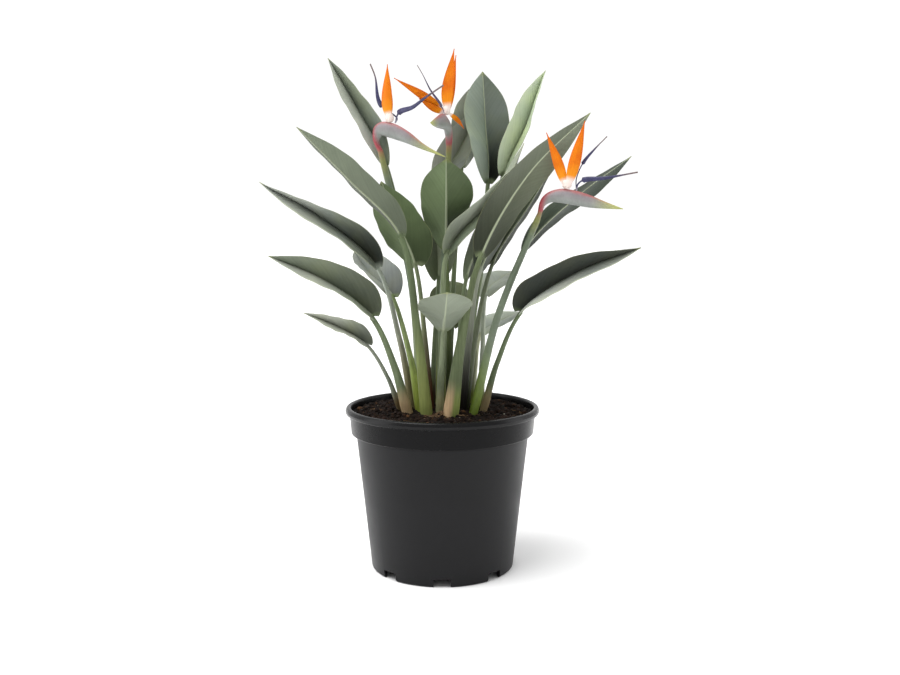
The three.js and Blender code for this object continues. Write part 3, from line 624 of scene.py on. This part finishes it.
def leaf_material(name, tints):
    """Satin blade with painted light and painted shade on each half, and faint side veins that sweep forward from a
    thin pale rib, on a finely ribbed stalk."""
    n = Material(name)
    along, run, q, off, upper = (n.field(k) for k in ("along", "run", "q", "off", "upper"))
    side = n.math("ABSOLUTE", off)
    share = n.math("ABSOLUTE", q)
    on_blade = n.ramp(along, 0.0, 0.03)
    swept = n.math("SUBTRACT", run, n.times(side, VEIN_SWEEP))
    swept = n.math("SUBTRACT", swept, n.times(n.times(side, side), VEIN_CURVE))
    swept = n.plus(swept, n.times(n.math("SIGN", off), 400.0))
    fine = n.noise(swept, 0.8, 1.0)
    broad = n.noise(swept, 0.13, 2.0)
    place = n.place()
    blotch = n.noise(place, 20, 3)
    grain = n.noise(place, 900, 2)
    blade = tints["blade"]
    colour = n.blend(n.ramp(blotch, 0.35, 0.72), blade, tinted(blade, 1.06, 1.04, 0.88))
    colour = n.blend(upper, tinted(blade, 1.06, 1.08, 1.1), colour)
    # painted light and painted shade: a factor for each half of the blade, from base to tip, on its colour
    left = n.ramp(along, 0.05, 0.65, tints["low"][0], tints["high"][0])
    right = n.ramp(along, 0.05, 0.65, tints["low"][1], tints["high"][1])
    painted_half_shading = n.ramp(q, -0.12, 0.12, left, right)
    # painted sheen: halves painted lighter also turn greyer
    colour = n.blend(n.ramp(painted_half_shading, 1.0, 2.0, 0.0, 0.6), colour, greyed(blade))
    colour = n.shade(colour, painted_half_shading)
    # less gloss where a half is painted into shade
    gloss = n.times(n.math("MINIMUM", painted_half_shading, 1.0), LEAF_GLOSS)
    tone = n.plus(n.ramp(fine, 0.3, 0.7, -0.025, 0.025), n.ramp(broad, 0.3, 0.7, 0.95, 1.05))
    colour = n.shade(colour, n.times(tone, n.ramp(blotch, 0.2, 0.8, 0.92, 1.08)))
    line = n.ramp(n.math("DIVIDE", side, n.ramp(along, 0.0, 1.0, tints["rib"], 0.8)), 0.55, 1.15, 1.0, 0.0)
    colour = n.blend(n.times(line, 0.8), colour, RIB_COLOUR)
    colour = n.blend(n.ramp(share, 0.97, 0.995, 0.0, 0.35), colour, MARGIN_COLOUR)
    if tints["edge"]:
        rim = n.ramp(n.times(q, tints["edge"]), 0.9, 0.97, 0.0, 0.8)
        colour = n.blend(rim, colour, EDGE_COLOUR)
    colour = n.blend(n.ramp(along, 0.94, 1.0, 0.0, 0.5), colour, TIP_COLOUR)
    streak = n.noise(n.stretched(place, (260, 260, 9)), 1.0, 3)
    # foot colour: partly the stalk's own, partly painted shade low in the clump
    foot = n.blend(n.ramp(n.field("east"), -0.2, 0.35), tints["foot"], tints["foot_right"])
    stem = n.blend(n.ramp(along, tints["rise"] - 1.0, -1.0), tints["stalk"], foot)
    stem = n.shade(stem, n.times(n.ramp(streak, 0.3, 0.7, 0.86, 1.12), n.ramp(blotch, 0.3, 0.7, 0.9, 1.1)))
    colour = n.blend(on_blade, stem, colour)
    full = n.times(on_blade, n.ramp(along, 0.65, 0.95, 1.0, 0.1))
    veins = n.times(n.plus(n.times(fine, 0.6), broad), full)
    relief = n.bump(veins, 0.0006, 0.25)
    relief = n.bump(grain, 0.0001, 0.1, relief)
    relief = n.bump(streak, 0.0006, 0.3, relief)
    rough = n.plus(n.ramp(blotch, 0.2, 0.8, 0.38, 0.5), n.times(fine, 0.05))
    return n.finish(colour, rough, gloss, relief)


for leaf_name, leaf_values in LEAVES.items():
    blade = leaf_object("blade_" + leaf_name[5:], leaf_values)
    dress(blade, leaf_name, leaf_material("leaf_skin_" + leaf_name[5:], LOOKS[leaf_name]))

# ---------------- blooms


class BloomFrame:
    """A bloom's axes at its neck: along its sheath, across it and up."""

    def __init__(self, bloom):
        angle = math.radians(bloom["heading"])
        self.neck = np.array(bloom["neck"], float)
        self.along = np.array([math.cos(angle), math.sin(angle), 0.0])
        self.across = np.cross(UP, self.along)

    def at(self, spot):
        return self.neck + self.along * spot[0] + self.across * spot[1] + UP * spot[2]


def oval(centre, side, width, up, height, count, pinch=0.0):
    """Points round an oval, narrowed in its lower half by pinch."""
    ring = []
    for angle in angles(count):
        narrow = 1 - pinch * max(0.0, -math.sin(angle)) ** 1.5
        ring.append(centre + side * width * narrow * math.cos(angle) + up * height * math.sin(angle))
    return ring


SCAPE_SIDES, SCAPE_RINGS, BEAK_STEPS = 28, 30, 56
LEAST_BEAK = 0.6


def scape_object(name, bloom):
    """The flower stalk and the boat-shaped sheath that it ends in."""
    f = BloomFrame(bloom)
    count = SCAPE_SIDES
    foot, collar, middle, top, lean = stem_course(bloom["root"], bloom["neck"], bloom["bow"])
    at, tangent = catmull([collar, middle, top])
    rings, along, level = [], [], []

    def add(ring, s):
        rings.append(ring)
        along.extend([s] * count)
        level.extend(map(math.sin, angles(count)))

    for k in range(3):
        add(stem_ring(mix(foot, collar, k / 3), lean, f.across, f.along, SCAPE_RADII[0] * 0.95, count), -1.02)
    for k in range(SCAPE_RINGS):
        share = 0.96 * k / (SCAPE_RINGS - 1)
        add(stem_ring(at(share), tangent(share), f.across, f.along, stem_radius(share, SCAPE_RADII), count), share - 1)
    outer, _ = catmull([(o[0], 0, o[1]) for o, _ in bloom["beak"]])
    inner, _ = catmull([(i[0], 0, i[1]) for _, i in bloom["beak"]])
    for k in range(BEAK_STEPS + 1):
        s = k / BEAK_STEPS
        high, low = f.at(outer(s)), f.at(inner(s))
        centre = (high + low) / 2
        half = max(np.linalg.norm(high - low) / 2, LEAST_BEAK)
        width = max(BEAK_HALF_WIDTH * math.sin(math.pi * min(1.0, 0.24 + 0.76 * s)), LEAST_BEAK)
        add(oval(centre, f.across, width, unit(low - centre), half, count, 0.45 * smooth(0.1, 0.35, s)), s)
    return skin(name, rings, {"along": along, "level": level})


LANCE_STATIONS = (1, 0.82, 0.6, 0.36, 0.14, 0, -0.14, -0.36, -0.6, -0.82, -1)


def lance_object(name, f, piece, thickness, profile, cup, steps=36):
    """A sepal or petal along its path; cup: depth of its hollow as a share of its half width."""
    at, tangent = catmull([f.at(p) for p in piece["path"]])
    spread, length = even(at)
    face = piece.get("face", (0, 1, 0))
    towards = f.along * face[0] + f.across * face[1] + UP * face[2]
    rings, along, wide = [], [], []
    for k in range(steps + 1):
        s = k / steps
        t = spread(s)
        centre, direction = at(t), tangent(t)
        normal = across_to(towards, direction)
        side = np.cross(direction, normal)
        reach = max(piece["half"] * profile(s), LEAST_REACH)
        depth = thickness / 2 * max(profile(s), 0.4)
        top, bottom = [], []
        for x in LANCE_STATIONS:
            crest = depth * (0.28 + 0.72 * (1 - abs(x)) ** 0.8)
            dish = cup * reach * (x * x - 0.5)
            top.append(centre + side * x * reach + normal * (crest + dish))
            bottom.insert(0, centre + side * x * reach + normal * (dish - crest * 0.8))
        rings.append(top + bottom)
        along.extend([s] * (2 * len(LANCE_STATIONS)))
        wide.extend(LANCE_STATIONS + LANCE_STATIONS[::-1])
    return skin(name, rings, {"along": along, "q": wide, "run": np.array(along) * length})


def sepal_profile(s):
    return 0.22 * (1 - s) + 0.9 * math.sin(math.pi * s ** 0.8) * (1 - 0.35 * s)


def petal_profile(barbs, thread):
    """A barbed head on a thin stalk, drawn out to a thread."""
    def profile(s):
        head = mix(1.0, PETAL_STALK, min(1.0, max(0.0, (s - barbs) / (thread - barbs))) ** 0.9)
        return mix(PETAL_STALK, head, float(smooth(barbs - 0.025, barbs, s)))
    return profile


CUP_SIDES, CUP_ALONG = 20, 0.08


def cup_object(name, f, spot):
    """The pale cup at the sepals' base."""
    rings, along = [], []
    levels, lengths, widths = zip(*CUP_RINGS)
    for z in np.linspace(0, CUP_HEIGHT, 12):
        centre = f.at((spot[0], spot[1], spot[2] + z))
        length, width = np.interp(z, levels, lengths), np.interp(z, levels, widths)
        rings.append(oval(centre, f.along, length, f.across, width, CUP_SIDES))
        along.extend([z / CUP_HEIGHT * CUP_ALONG] * CUP_SIDES)
    return skin(name, rings, {"along": along, "q": np.zeros(len(along)), "run": np.array(along) * 100})


def spathe_material():
    """Grey-lilac sheath with a red upper edge and neck, on a stalk that yellows just under it."""
    n = Material("spathe_skin")
    along, level = n.field("along"), n.field("level")
    place = n.place()
    blotch = n.noise(place, 45, 3)
    streak = n.noise(n.stretched(place, (90, 90, 40)), 4, 4)
    stem = n.blend(n.ramp(along, -1.0, -0.6), 0x6C8030, 0x66725E)
    stem = n.blend(n.ramp(along, -0.13, -0.03), stem, 0x787C48)
    body = n.blend(n.ramp(level, -0.7, 0.8), 0x80787C, 0x8C908C)
    edge = n.ramp(n.plus(level, n.ramp(blotch, 0.3, 0.7, -0.1, 0.1)), -1.0, -0.4, 0.8, 0.0)
    body = n.blend(edge, body, 0xA8524E)
    neck = n.ramp(n.plus(along, n.times(level, 0.1)), 0.1, 0.34, 1.0, 0.0)
    colour = n.blend(neck, body, 0x9C4048)
    colour = n.blend(n.ramp(along, 0.7, 1.0), colour, 0xA6AA62)
    colour = n.blend(n.ramp(along, -0.04, 0.05), stem, colour)
    colour = n.shade(colour, n.ramp(blotch, 0.25, 0.75, 0.9, 1.1))
    colour = n.shade(colour, n.ramp(streak, 0.3, 0.7, 0.94, 1.05))
    return n.finish(colour, n.ramp(blotch, 0.2, 0.8, 0.36, 0.5), 0.4, n.bump(streak, 0.0005, 0.3))


def sepal_material():
    """Orange sepal, paler near its white base and darker at its margins and tip."""
    n = Material("sepal_skin")
    along, q = n.field("along"), n.field("q")
    rays = n.noise(n.times(q, 6.0), 1.6, 2)
    blotch = n.noise(n.place(), 60, 3)
    colour = n.blend(n.ramp(blotch, 0.3, 0.7), 0xDA7604, 0xD26402)
    colour = n.blend(n.ramp(n.math("ABSOLUTE", q), 0.5, 1.0, 0.0, 0.5), colour, 0xC85C04)
    colour = n.blend(n.ramp(along, 0.1, 0.45, 0.7, 0.0), colour, 0xEE9A16)
    colour = n.blend(n.ramp(along, 0.7, 1.0, 0.0, 0.7), colour, 0xC85A0C)
    colour = n.blend(n.ramp(along, 0.07, 0.17, 1.0, 0.0), colour, 0xE9DAD2)
    colour = n.shade(colour, n.ramp(rays, 0.3, 0.7, 0.9, 1.06))
    return n.finish(colour, n.ramp(blotch, 0.2, 0.8, 0.42, 0.58), 0.18, n.bump(rays, 0.0004, 0.12))


def petal_material():
    """Dark blue-violet petal, pale at its base and brown towards its thread."""
    n = Material("petal_skin")
    along, q = n.field("along"), n.field("q")
    rays = n.noise(n.times(q, 5.0), 1.5, 2)
    blotch = n.noise(n.place(), 80, 3)
    colour = n.blend(n.ramp(blotch, 0.3, 0.7), 0x3A3A60, 0x2B2B4E)
    colour = n.blend(n.ramp(along, 0.62, 0.95), colour, 0x6B5A58)
    colour = n.blend(n.ramp(along, 0.0, 0.08, 0.8, 0.0), colour, 0xB9B4BE)
    colour = n.shade(colour, n.ramp(rays, 0.3, 0.7, 0.85, 1.1))
    return n.finish(colour, n.ramp(blotch, 0.2, 0.8, 0.34, 0.5), 0.35, n.bump(rays, 0.0003, 0.12), Sheen_Weight=0.05)


SPATHE, SEPAL, PETAL = spathe_material(), sepal_material(), petal_material()
for bloom_name, bloom in BLOOMS.items():
    f = BloomFrame(bloom)
    dress(scape_object(bloom_name + "_scape", bloom), bloom_name + "_stem", SPATHE)
    lances = [
        lance_object("%s_sepal_%d" % (bloom_name, i), f, piece, SEPAL_THICKNESS, sepal_profile, SEPAL_CUP)
        for i, piece in enumerate(bloom["sepals"])
    ]
    crown = joined([cup_object(bloom_name + "_cup", f, bloom["cup"])] + lances, bloom_name + "_crown")
    dress(crown, bloom_name + "_sepals", SEPAL)
    darts = [
        lance_object("%s_petal_%d" % (bloom_name, i), f, piece, PETAL_THICKNESS, petal_profile(*piece["head"]),
                     PETAL_CUP, PETAL_STEPS)
        for i, piece in enumerate(bloom["petals"])
    ]
    dress(joined(darts, bloom_name + "_darts"), bloom_name + "_petals", PETAL)

# ---------------- pot

POT_PROFILE = [
    # radius, height, rounding
    (0, 13, 0), (106.1, 13, 1.5), (106.1, 0, 0.6), (108.5, 0, 0.8), (110.7, 2, 1.6), (133.4, 210, 1.2),
    (140, 211, 1.0), (141, 212, 1.0), (143.5, 240, 1.2), (149, 241.5, 2.5), (150, 246, 3), (148, 250.8, 2.5),
    (145, 252, 3), (141.6, 251, 2), (141, 248, 2), (140.2, 240, 2), (138.6, 213.5, 1), (131, 212.5, 2),
    (109.8, 16, 2), (0, 16, 0),
]
POT_SEGMENTS = 160
NOTCH_COUNT = 8
NOTCH_WIDTH = 25
NOTCH_HEIGHT = 12.5
NOTCH_DEPTH = 18
NOTCH_RADIUS = 104
POT_SHARP = 35
COLLAR = (0.206, 0.213)  # heights in metres between which the finish turns smoother and painted shade darkens the collar
LIP = (0.2405, 0.244)


def filleted(profile, steps=5):
    """The profile with each corner rounded by its own radius."""
    out = []
    pts = [np.array(p[:2], float) for p in profile]
    for i, p in enumerate(pts):
        radius = profile[i][2]
        if radius == 0:
            out.append(p)
            continue
        back, ahead = pts[i - 1] - p, pts[i + 1] - p
        angle = math.acos(np.clip(unit(back) @ unit(ahead), -1, 1))
        reach = radius / max(math.tan(angle / 2), 1e-3)
        reach = min(reach, 0.45 * np.linalg.norm(back), 0.45 * np.linalg.norm(ahead))
        start, end = p + unit(back) * reach, p + unit(ahead) * reach
        for k in range(steps + 1):
            t = k / steps
            out.append((1 - t) ** 2 * start + 2 * t * (1 - t) * p + t * t * end)
    return out


def spun(name, outline, segments):
    """The outline turned about the vertical axis."""
    ring = turns(segments)
    rows = [[(r * math.sin(a), -r * math.cos(a), z) for a in ring] if r else [(0, 0, z)] for r, z in outline]
    return bridged(name, rows, POT_SHARP)


def cut_notches(pot):
    cutters = []
    for a in turns(NOTCH_COUNT):
        bpy.ops.mesh.primitive_cube_add(size=1)
        box = bpy.context.object
        box.scale = (NOTCH_WIDTH * MM, NOTCH_DEPTH * MM, 2 * NOTCH_HEIGHT * MM)
        box.location = (math.sin(a) * NOTCH_RADIUS * MM, -math.cos(a) * NOTCH_RADIUS * MM, 0)
        box.rotation_euler = (0, 0, a)
        cutters.append(box)
    cutter = joined(cutters, "notch_cutter")
    cut = pot.modifiers.new("notches", "BOOLEAN")
    cut.operation = "DIFFERENCE"
    cut.object = cutter
    cut.solver = "EXACT"
    bpy.context.view_layer.objects.active = pot
    bpy.ops.object.modifier_apply(modifier=cut.name)
    bpy.data.objects.remove(cutter)
    pot.data.shade_smooth()
    pot.data.set_sharp_from_angle(angle=math.radians(POT_SHARP))


def pot_material():
    """Near-black moulded plastic: satin on the body, smoother on the collar and darkened there by painted shade, with
    a little soil dust.
    """
    n = Material("pot_plastic")
    place = n.place()
    height = n.component(place, "Z")
    cloud = n.noise(place, 14, 4)
    speck = n.noise(place, 420, 2)
    peel = n.noise(place, 1500, 1)
    ring = n.noise(n.times(height, 900.0), 1.0, 2)
    colour = n.blend(n.ramp(cloud, 0.3, 0.75), 0x0D0D0F, 0x121214)
    collar = n.ramp(height, *COLLAR)
    # painted shade: the collar's colour is darkened by 55 %
    colour = n.shade(colour, n.math("SUBTRACT", 1.0, n.times(collar, 0.55)))
    gloss = n.plus(n.ramp(height, *COLLAR, 0.2, 0.12), n.ramp(height, *LIP, 0.0, 0.1))
    dust = n.times(n.ramp(speck, 0.62, 0.75), n.ramp(height, 0.205, 0.25, 0.02, 0.07))
    colour = n.blend(dust, colour, 0x4A4038)
    rough = n.math("SUBTRACT", n.ramp(cloud, 0.25, 0.75, 0.36, 0.46), n.times(collar, 0.14))
    rough = n.plus(rough, n.times(dust, 0.4))
    relief = n.bump(peel, 0.00008, 0.4)
    relief = n.bump(ring, 0.00012, 0.25, relief)
    return n.finish(colour, rough, gloss, relief)


pot = spun("pot_shell", filleted(POT_PROFILE), POT_SEGMENTS)
cut_notches(pot)
dress(pot, "pot", pot_material())

# ---------------- soil


def soil_height(x, y):
    """The soil's level at a place: broad waves, a low mound and a finer roughness."""
    waves = math.sin(x * 0.093 + 1.3) * math.sin(y * 0.121 + 0.4) + 0.6 * math.sin(x * 0.27 + y * 0.19)
    mound = SOIL_MOUND * max(0.0, 1 - math.hypot(x, y) / MOUND_RADIUS)
    fine = math.sin(x * 0.61 + 2) * math.sin(y * 0.67 + 1) + 0.7 * math.sin(x * 1.13 + y * 0.83 + 0.5)
    return SOIL_TOP + (SOIL_ROUGHNESS * waves * 0.6 + mound) + 0.7 * fine


SOIL_EDGE = 138.3
SOIL_SIDE = [(106, 17), (129.5, 209), (SOIL_EDGE - 0.4, 222)]  # radius, height
SOIL_RINGS, SOIL_SEGMENTS, SOIL_SEED = 70, 150, 11


def soil_object():
    """The bed of soil: a closed form with a rough top, down to the pot's floor."""
    rng = random.Random(SOIL_SEED)
    ring = turns(SOIL_SEGMENTS)
    rows = [[(0, 0, SOIL_SIDE[0][1])]]
    rows += [[(r * math.cos(a), r * math.sin(a), z) for a in ring] for r, z in SOIL_SIDE]
    for k in range(SOIL_RINGS, 0, -1):
        r = SOIL_EDGE * k / SOIL_RINGS
        spots = [(r * math.cos(a), r * math.sin(a)) for a in ring]
        rows.append([(x, y, soil_height(x, y) + rng.uniform(-0.5, 0.7)) for x, y in spots])
    rows.append([(0, 0, soil_height(0, 0))])
    return bridged("soil_bed", rows, None)


ICO_FACES = [(0, 11, 5), (0, 5, 1), (0, 1, 7), (0, 7, 10), (0, 10, 11), (1, 5, 9), (5, 11, 4), (11, 10, 2), (10, 7, 6),
             (7, 1, 8), (3, 9, 4), (3, 4, 2), (3, 2, 6), (3, 6, 8), (3, 8, 9), (4, 9, 5), (2, 4, 11), (6, 2, 10),
             (8, 6, 7), (9, 8, 1)]
GOLDEN = (1 + math.sqrt(5)) / 2
ICO_CORNERS = [(a, b, 0) for b in (GOLDEN, -GOLDEN) for a in (-1, 1)]
ICO_CORNERS += [(0, a, b) for b in (GOLDEN, -GOLDEN) for a in (-1, 1)]
ICO_CORNERS += [(a, 0, b) for a in (GOLDEN, -GOLDEN) for b in (-1, 1)]
ICO_POINTS = np.array([unit(np.array(p, float)) for p in ICO_CORNERS])


def somewhere(rng, spread):
    """A random place on the soil, within spread of its middle."""
    r = spread * math.sqrt(rng.random())
    a = rng.random() * TURN
    return r * math.cos(a), r * math.sin(a)


def crumbs(name, seed, number, size, flat=0.7, spread=SOIL_EDGE - 2, lift=0.35):
    """Loose grains on the soil, each a lumpy stone of its own shape. size: least and most; flat: height by width;
    lift: most height over the soil, by size."""
    rng = np.random.default_rng(seed)
    points, faces, shade = [], [], []
    for _ in range(number):
        x, y = somewhere(rng, spread)
        s = size[0] + (size[1] - size[0]) * rng.random() ** 2.5
        z = soil_height(x, y) + s * lift * rng.random()
        lumpy = ICO_POINTS * (1 + 0.3 * (rng.random((len(ICO_POINTS), 1)) - 0.5))
        grain = lumpy * np.array([s, s * rng.uniform(0.5, 1), s * flat])
        turn = rng.random() * TURN
        c, q = math.cos(turn), math.sin(turn)
        grain = grain @ np.array([[c, -q, 0], [q, c, 0], [0, 0, 1]])
        start = len(points)
        points.extend((grain + np.array([x, y, z])).tolist())
        faces.extend(tuple(start + i for i in f) for f in ICO_FACES)
        shade.extend([rng.random()] * len(ICO_POINTS))
    return mesh_object(name, points, faces, {"tone": shade}, sharp=60)


def soil_material(name, dark, mid, pale, share):
    """Rough peat from dark to mid brown; share: the level of a lump's tone from which it turns pale."""
    n = Material(name)
    place = n.place()
    tone = n.field("tone")
    lumps = n.noise(place, 160, 6, 0.7)
    big = n.noise(place, 30, 3)
    colour = n.blend(n.ramp(lumps, 0.3, 0.7), dark, mid)
    level = n.plus(n.times(tone, 0.75), n.times(lumps, 0.5))
    colour = n.blend(n.ramp(level, share, share + 0.15), colour, pale)
    colour = n.shade(colour, n.ramp(big, 0.25, 0.75, 0.55, 1.1))
    return n.finish(colour, n.ramp(lumps, 0.2, 0.8, 0.78, 0.98), 0.2, n.bump(lumps, 0.003, 1.0))


FIBRE_SIDES = 6
FIBRE_EDGE = SOIL_EDGE - 4


def tube(spots, radius, tone):
    """A thin round fibre through the spots."""
    last = len(spots) - 1
    rings = []
    for k, spot in enumerate(spots):
        ahead = unit(spots[min(k + 1, last)] - spots[max(k - 1, 0)] + 1e-6)
        side = across_to(UP, ahead)
        rings.append(oval(spot, np.cross(ahead, side), radius, side, radius, FIBRE_SIDES))
    return skin("fibre", rings, {"tone": [tone] * (FIBRE_SIDES * len(rings))})


def fibres(name, seed, number):
    """Fine roots and bark fibres lying on the soil."""
    rng = np.random.default_rng(seed)
    tubes = []
    for _ in range(number):
        x, y = somewhere(rng, SOIL_EDGE - 12)
        heading = rng.random() * TURN
        bend = rng.uniform(-0.25, 0.25)
        length = rng.uniform(8, 26)
        radius = rng.uniform(0.18, 0.42)
        spots = []
        for _ in range(7):
            heading += bend
            x += length / 6 * math.cos(heading)
            y += length / 6 * math.sin(heading)
            over = math.hypot(x, y)
            if over > FIBRE_EDGE:
                x, y = x * FIBRE_EDGE / over, y * FIBRE_EDGE / over
            spots.append(np.array([x, y, soil_height(x, y) + 1.2 + 1.5 * rng.random()]))
        tubes.append(tube(spots, radius, rng.random()))
    return joined(tubes, name)


def roots(name, seed, foot, reach, number):
    """Pale frayed roots that run out over the soil from one stalk's foot."""
    rng = np.random.default_rng(seed)
    tubes = []
    for i in range(number):
        heading = math.radians(rng.uniform(165, 215) if i % 3 else rng.uniform(-35, 15))
        x, y = foot[0] + reach * math.cos(heading) * 0.8, foot[1] + reach * math.sin(heading) * 0.8
        length = rng.uniform(14, 52) if i % 3 else rng.uniform(10, 26)
        bend = rng.uniform(-0.12, 0.12)
        spots = []
        for k in range(8):
            z = soil_height(x, y) + mix(6.0 * rng.random() + 2, 2.2, min(1.0, k / 3))
            spots.append(np.array([x, y, z]))
            heading += bend + rng.uniform(-0.15, 0.15)
            x += length / 7 * math.cos(heading)
            y += length / 7 * math.sin(heading)
        tubes.append(tube(spots, rng.uniform(0.25, 0.5), rng.random()))
    return joined(tubes, name)


def lay(piece, node, *look_of_soil):
    dress(piece, node, soil_material(*look_of_soil))


lay(soil_object(), "soil", "soil_dark", 0x0E0A08, 0x22170F, 0x3A2A1C, 0.86)
lay(crumbs("soil_grains", 3, 5200, (0.9, 3.6)), None, "soil_grain", 0x100B08, 0x2A1B12, 0x523A26, 0.92)
lay(crumbs("soil_clods", 4, 640, (2.4, 6.6), spread=SOIL_EDGE - 10, lift=0.5), None,
    "soil_clod", 0x0C0706, 0x2E1C12, 0x5C4028, 0.86)
lay(crumbs("soil_perlite", 5, 120, (0.5, 1.5), 0.9, lift=1.2), None, "soil_speck", 0x8A7F70, 0xB8AE9E, 0xD9D2C4, 0.8)
lay(fibres("soil_fibres", 9, 150), None, "soil_fibre", 0x20150E, 0x4A3424, 0x80643F, 0.8)
lay(roots("soil_roots", 21, (10, -50), 12, 18), None, "soil_root", 0x6E5640, 0x9A7E5E, 0xC0A684, 0.75)

# ---------------- floor, light and camera

FRONT_LIGHT, BACKDROP_LIGHT, SEEN_LIGHT = 0.7, 0.92, 1.05
SUN_STRENGTH = 2.6
SUN_FROM = (-0.5, -0.22, 1.35)
SUN_WIDTH = 45
PANELS = {  # place, width, height, power
    "left_panel": ((-1.7, -0.3, 0.7), 1.0, 1.6, 9),
    "right_panel": ((1.7, 0.1, 0.7), 0.8, 1.4, 4),
}
PANEL_TARGET = (0, 0, 0.4)
FLOOR_REACH = 40
FLOOR_TONES = (0.9, 0.91)
FLOOR_GLOW = 0.15
GLOW_FROM, GLOW_FULL = 0.1, 0.125
CAMERA_SPOT = (0.0117, -1.45, 0.51)
CAMERA_PITCH = 6.02
FOCAL_PIXELS = 946
IMAGE_WIDTH, SENSOR_WIDTH = 900, 36
WHITE = (1.0, 1.0, 1.0, 1.0)


def build_world():
    """Even light that is stronger from behind than from the front, in front of a white backdrop."""
    world = bpy.data.worlds.new("studio")
    bpy.context.scene.world = world
    world.use_nodes = True
    n = Nodes(world.node_tree)
    backdrop = n.tree.nodes["Background"]
    backdrop.inputs["Color"].default_value = WHITE
    ahead = n.component(n.node("TexCoord").outputs["Generated"], "Y")
    light = n.ramp(ahead, -0.2, 0.8, FRONT_LIGHT, BACKDROP_LIGHT, "LINEAR")
    seen = n.node("LightPath").outputs["Is Camera Ray"]
    n.link(n.ramp(seen, 0.0, 1.0, light, SEEN_LIGHT, "LINEAR"), backdrop.inputs["Strength"])


def build_floor():
    """A pale matt floor with a faint glow of its own, except under the pot."""
    mesh = bpy.data.meshes.new("floor")
    corners = [(x * FLOOR_REACH, y * FLOOR_REACH, 0) for x, y in ((-1, -1), (1, -1), (1, 1), (-1, 1))]
    mesh.from_pydata(corners, [], [(0, 1, 2, 3)])
    paint = Material("floor_paint")
    from_pot = paint.node("VectorMath", operation="LENGTH")
    paint.link(paint.place(), from_pot.inputs[0])
    glow = paint.ramp(from_pot.outputs["Value"], GLOW_FROM, GLOW_FULL, 0.0, FLOOR_GLOW)
    colour = paint.blend(paint.noise(None, 3, 3), *((tone, tone, tone, 1.0) for tone in FLOOR_TONES))
    mesh.materials.append(paint.finish(colour, 0.9, 0.0, Emission_Color=WHITE, Emission_Strength=glow))
    return in_scene("floor", mesh)


def lamp(name, kind, power, where, ahead, **settings):
    """A light that shines along the unit vector ahead."""
    light = bpy.data.lights.new(name, kind)
    light.energy = power
    for key, value in settings.items():
        setattr(light, key, value)
    obj = in_scene(name, light)
    obj.location = where
    obj.rotation_euler = (math.acos(-ahead[2]), 0, math.atan2(-ahead[0], ahead[1]))


build_world()
floor = build_floor()
lamp("key", "SUN", SUN_STRENGTH, (0, 0, 3), -unit(np.array(SUN_FROM, float)), angle=math.radians(SUN_WIDTH))
for panel, (where, width, height, power) in PANELS.items():
    ahead = unit(np.array(PANEL_TARGET, float) - np.array(where, float))
    lamp(panel, "AREA", power, where, ahead, shape="RECTANGLE", size=width, size_y=height)

camera = bpy.data.cameras.new("camera")
camera.sensor_width = SENSOR_WIDTH
camera.lens = SENSOR_WIDTH * FOCAL_PIXELS / IMAGE_WIDTH
camera_object = in_scene("camera", camera)
camera_object.location = CAMERA_SPOT
camera_object.rotation_euler = (math.radians(90 - CAMERA_PITCH), 0, 0)
bpy.context.scene.camera = camera_object
bpy.context.scene.view_settings.view_transform = "Standard"
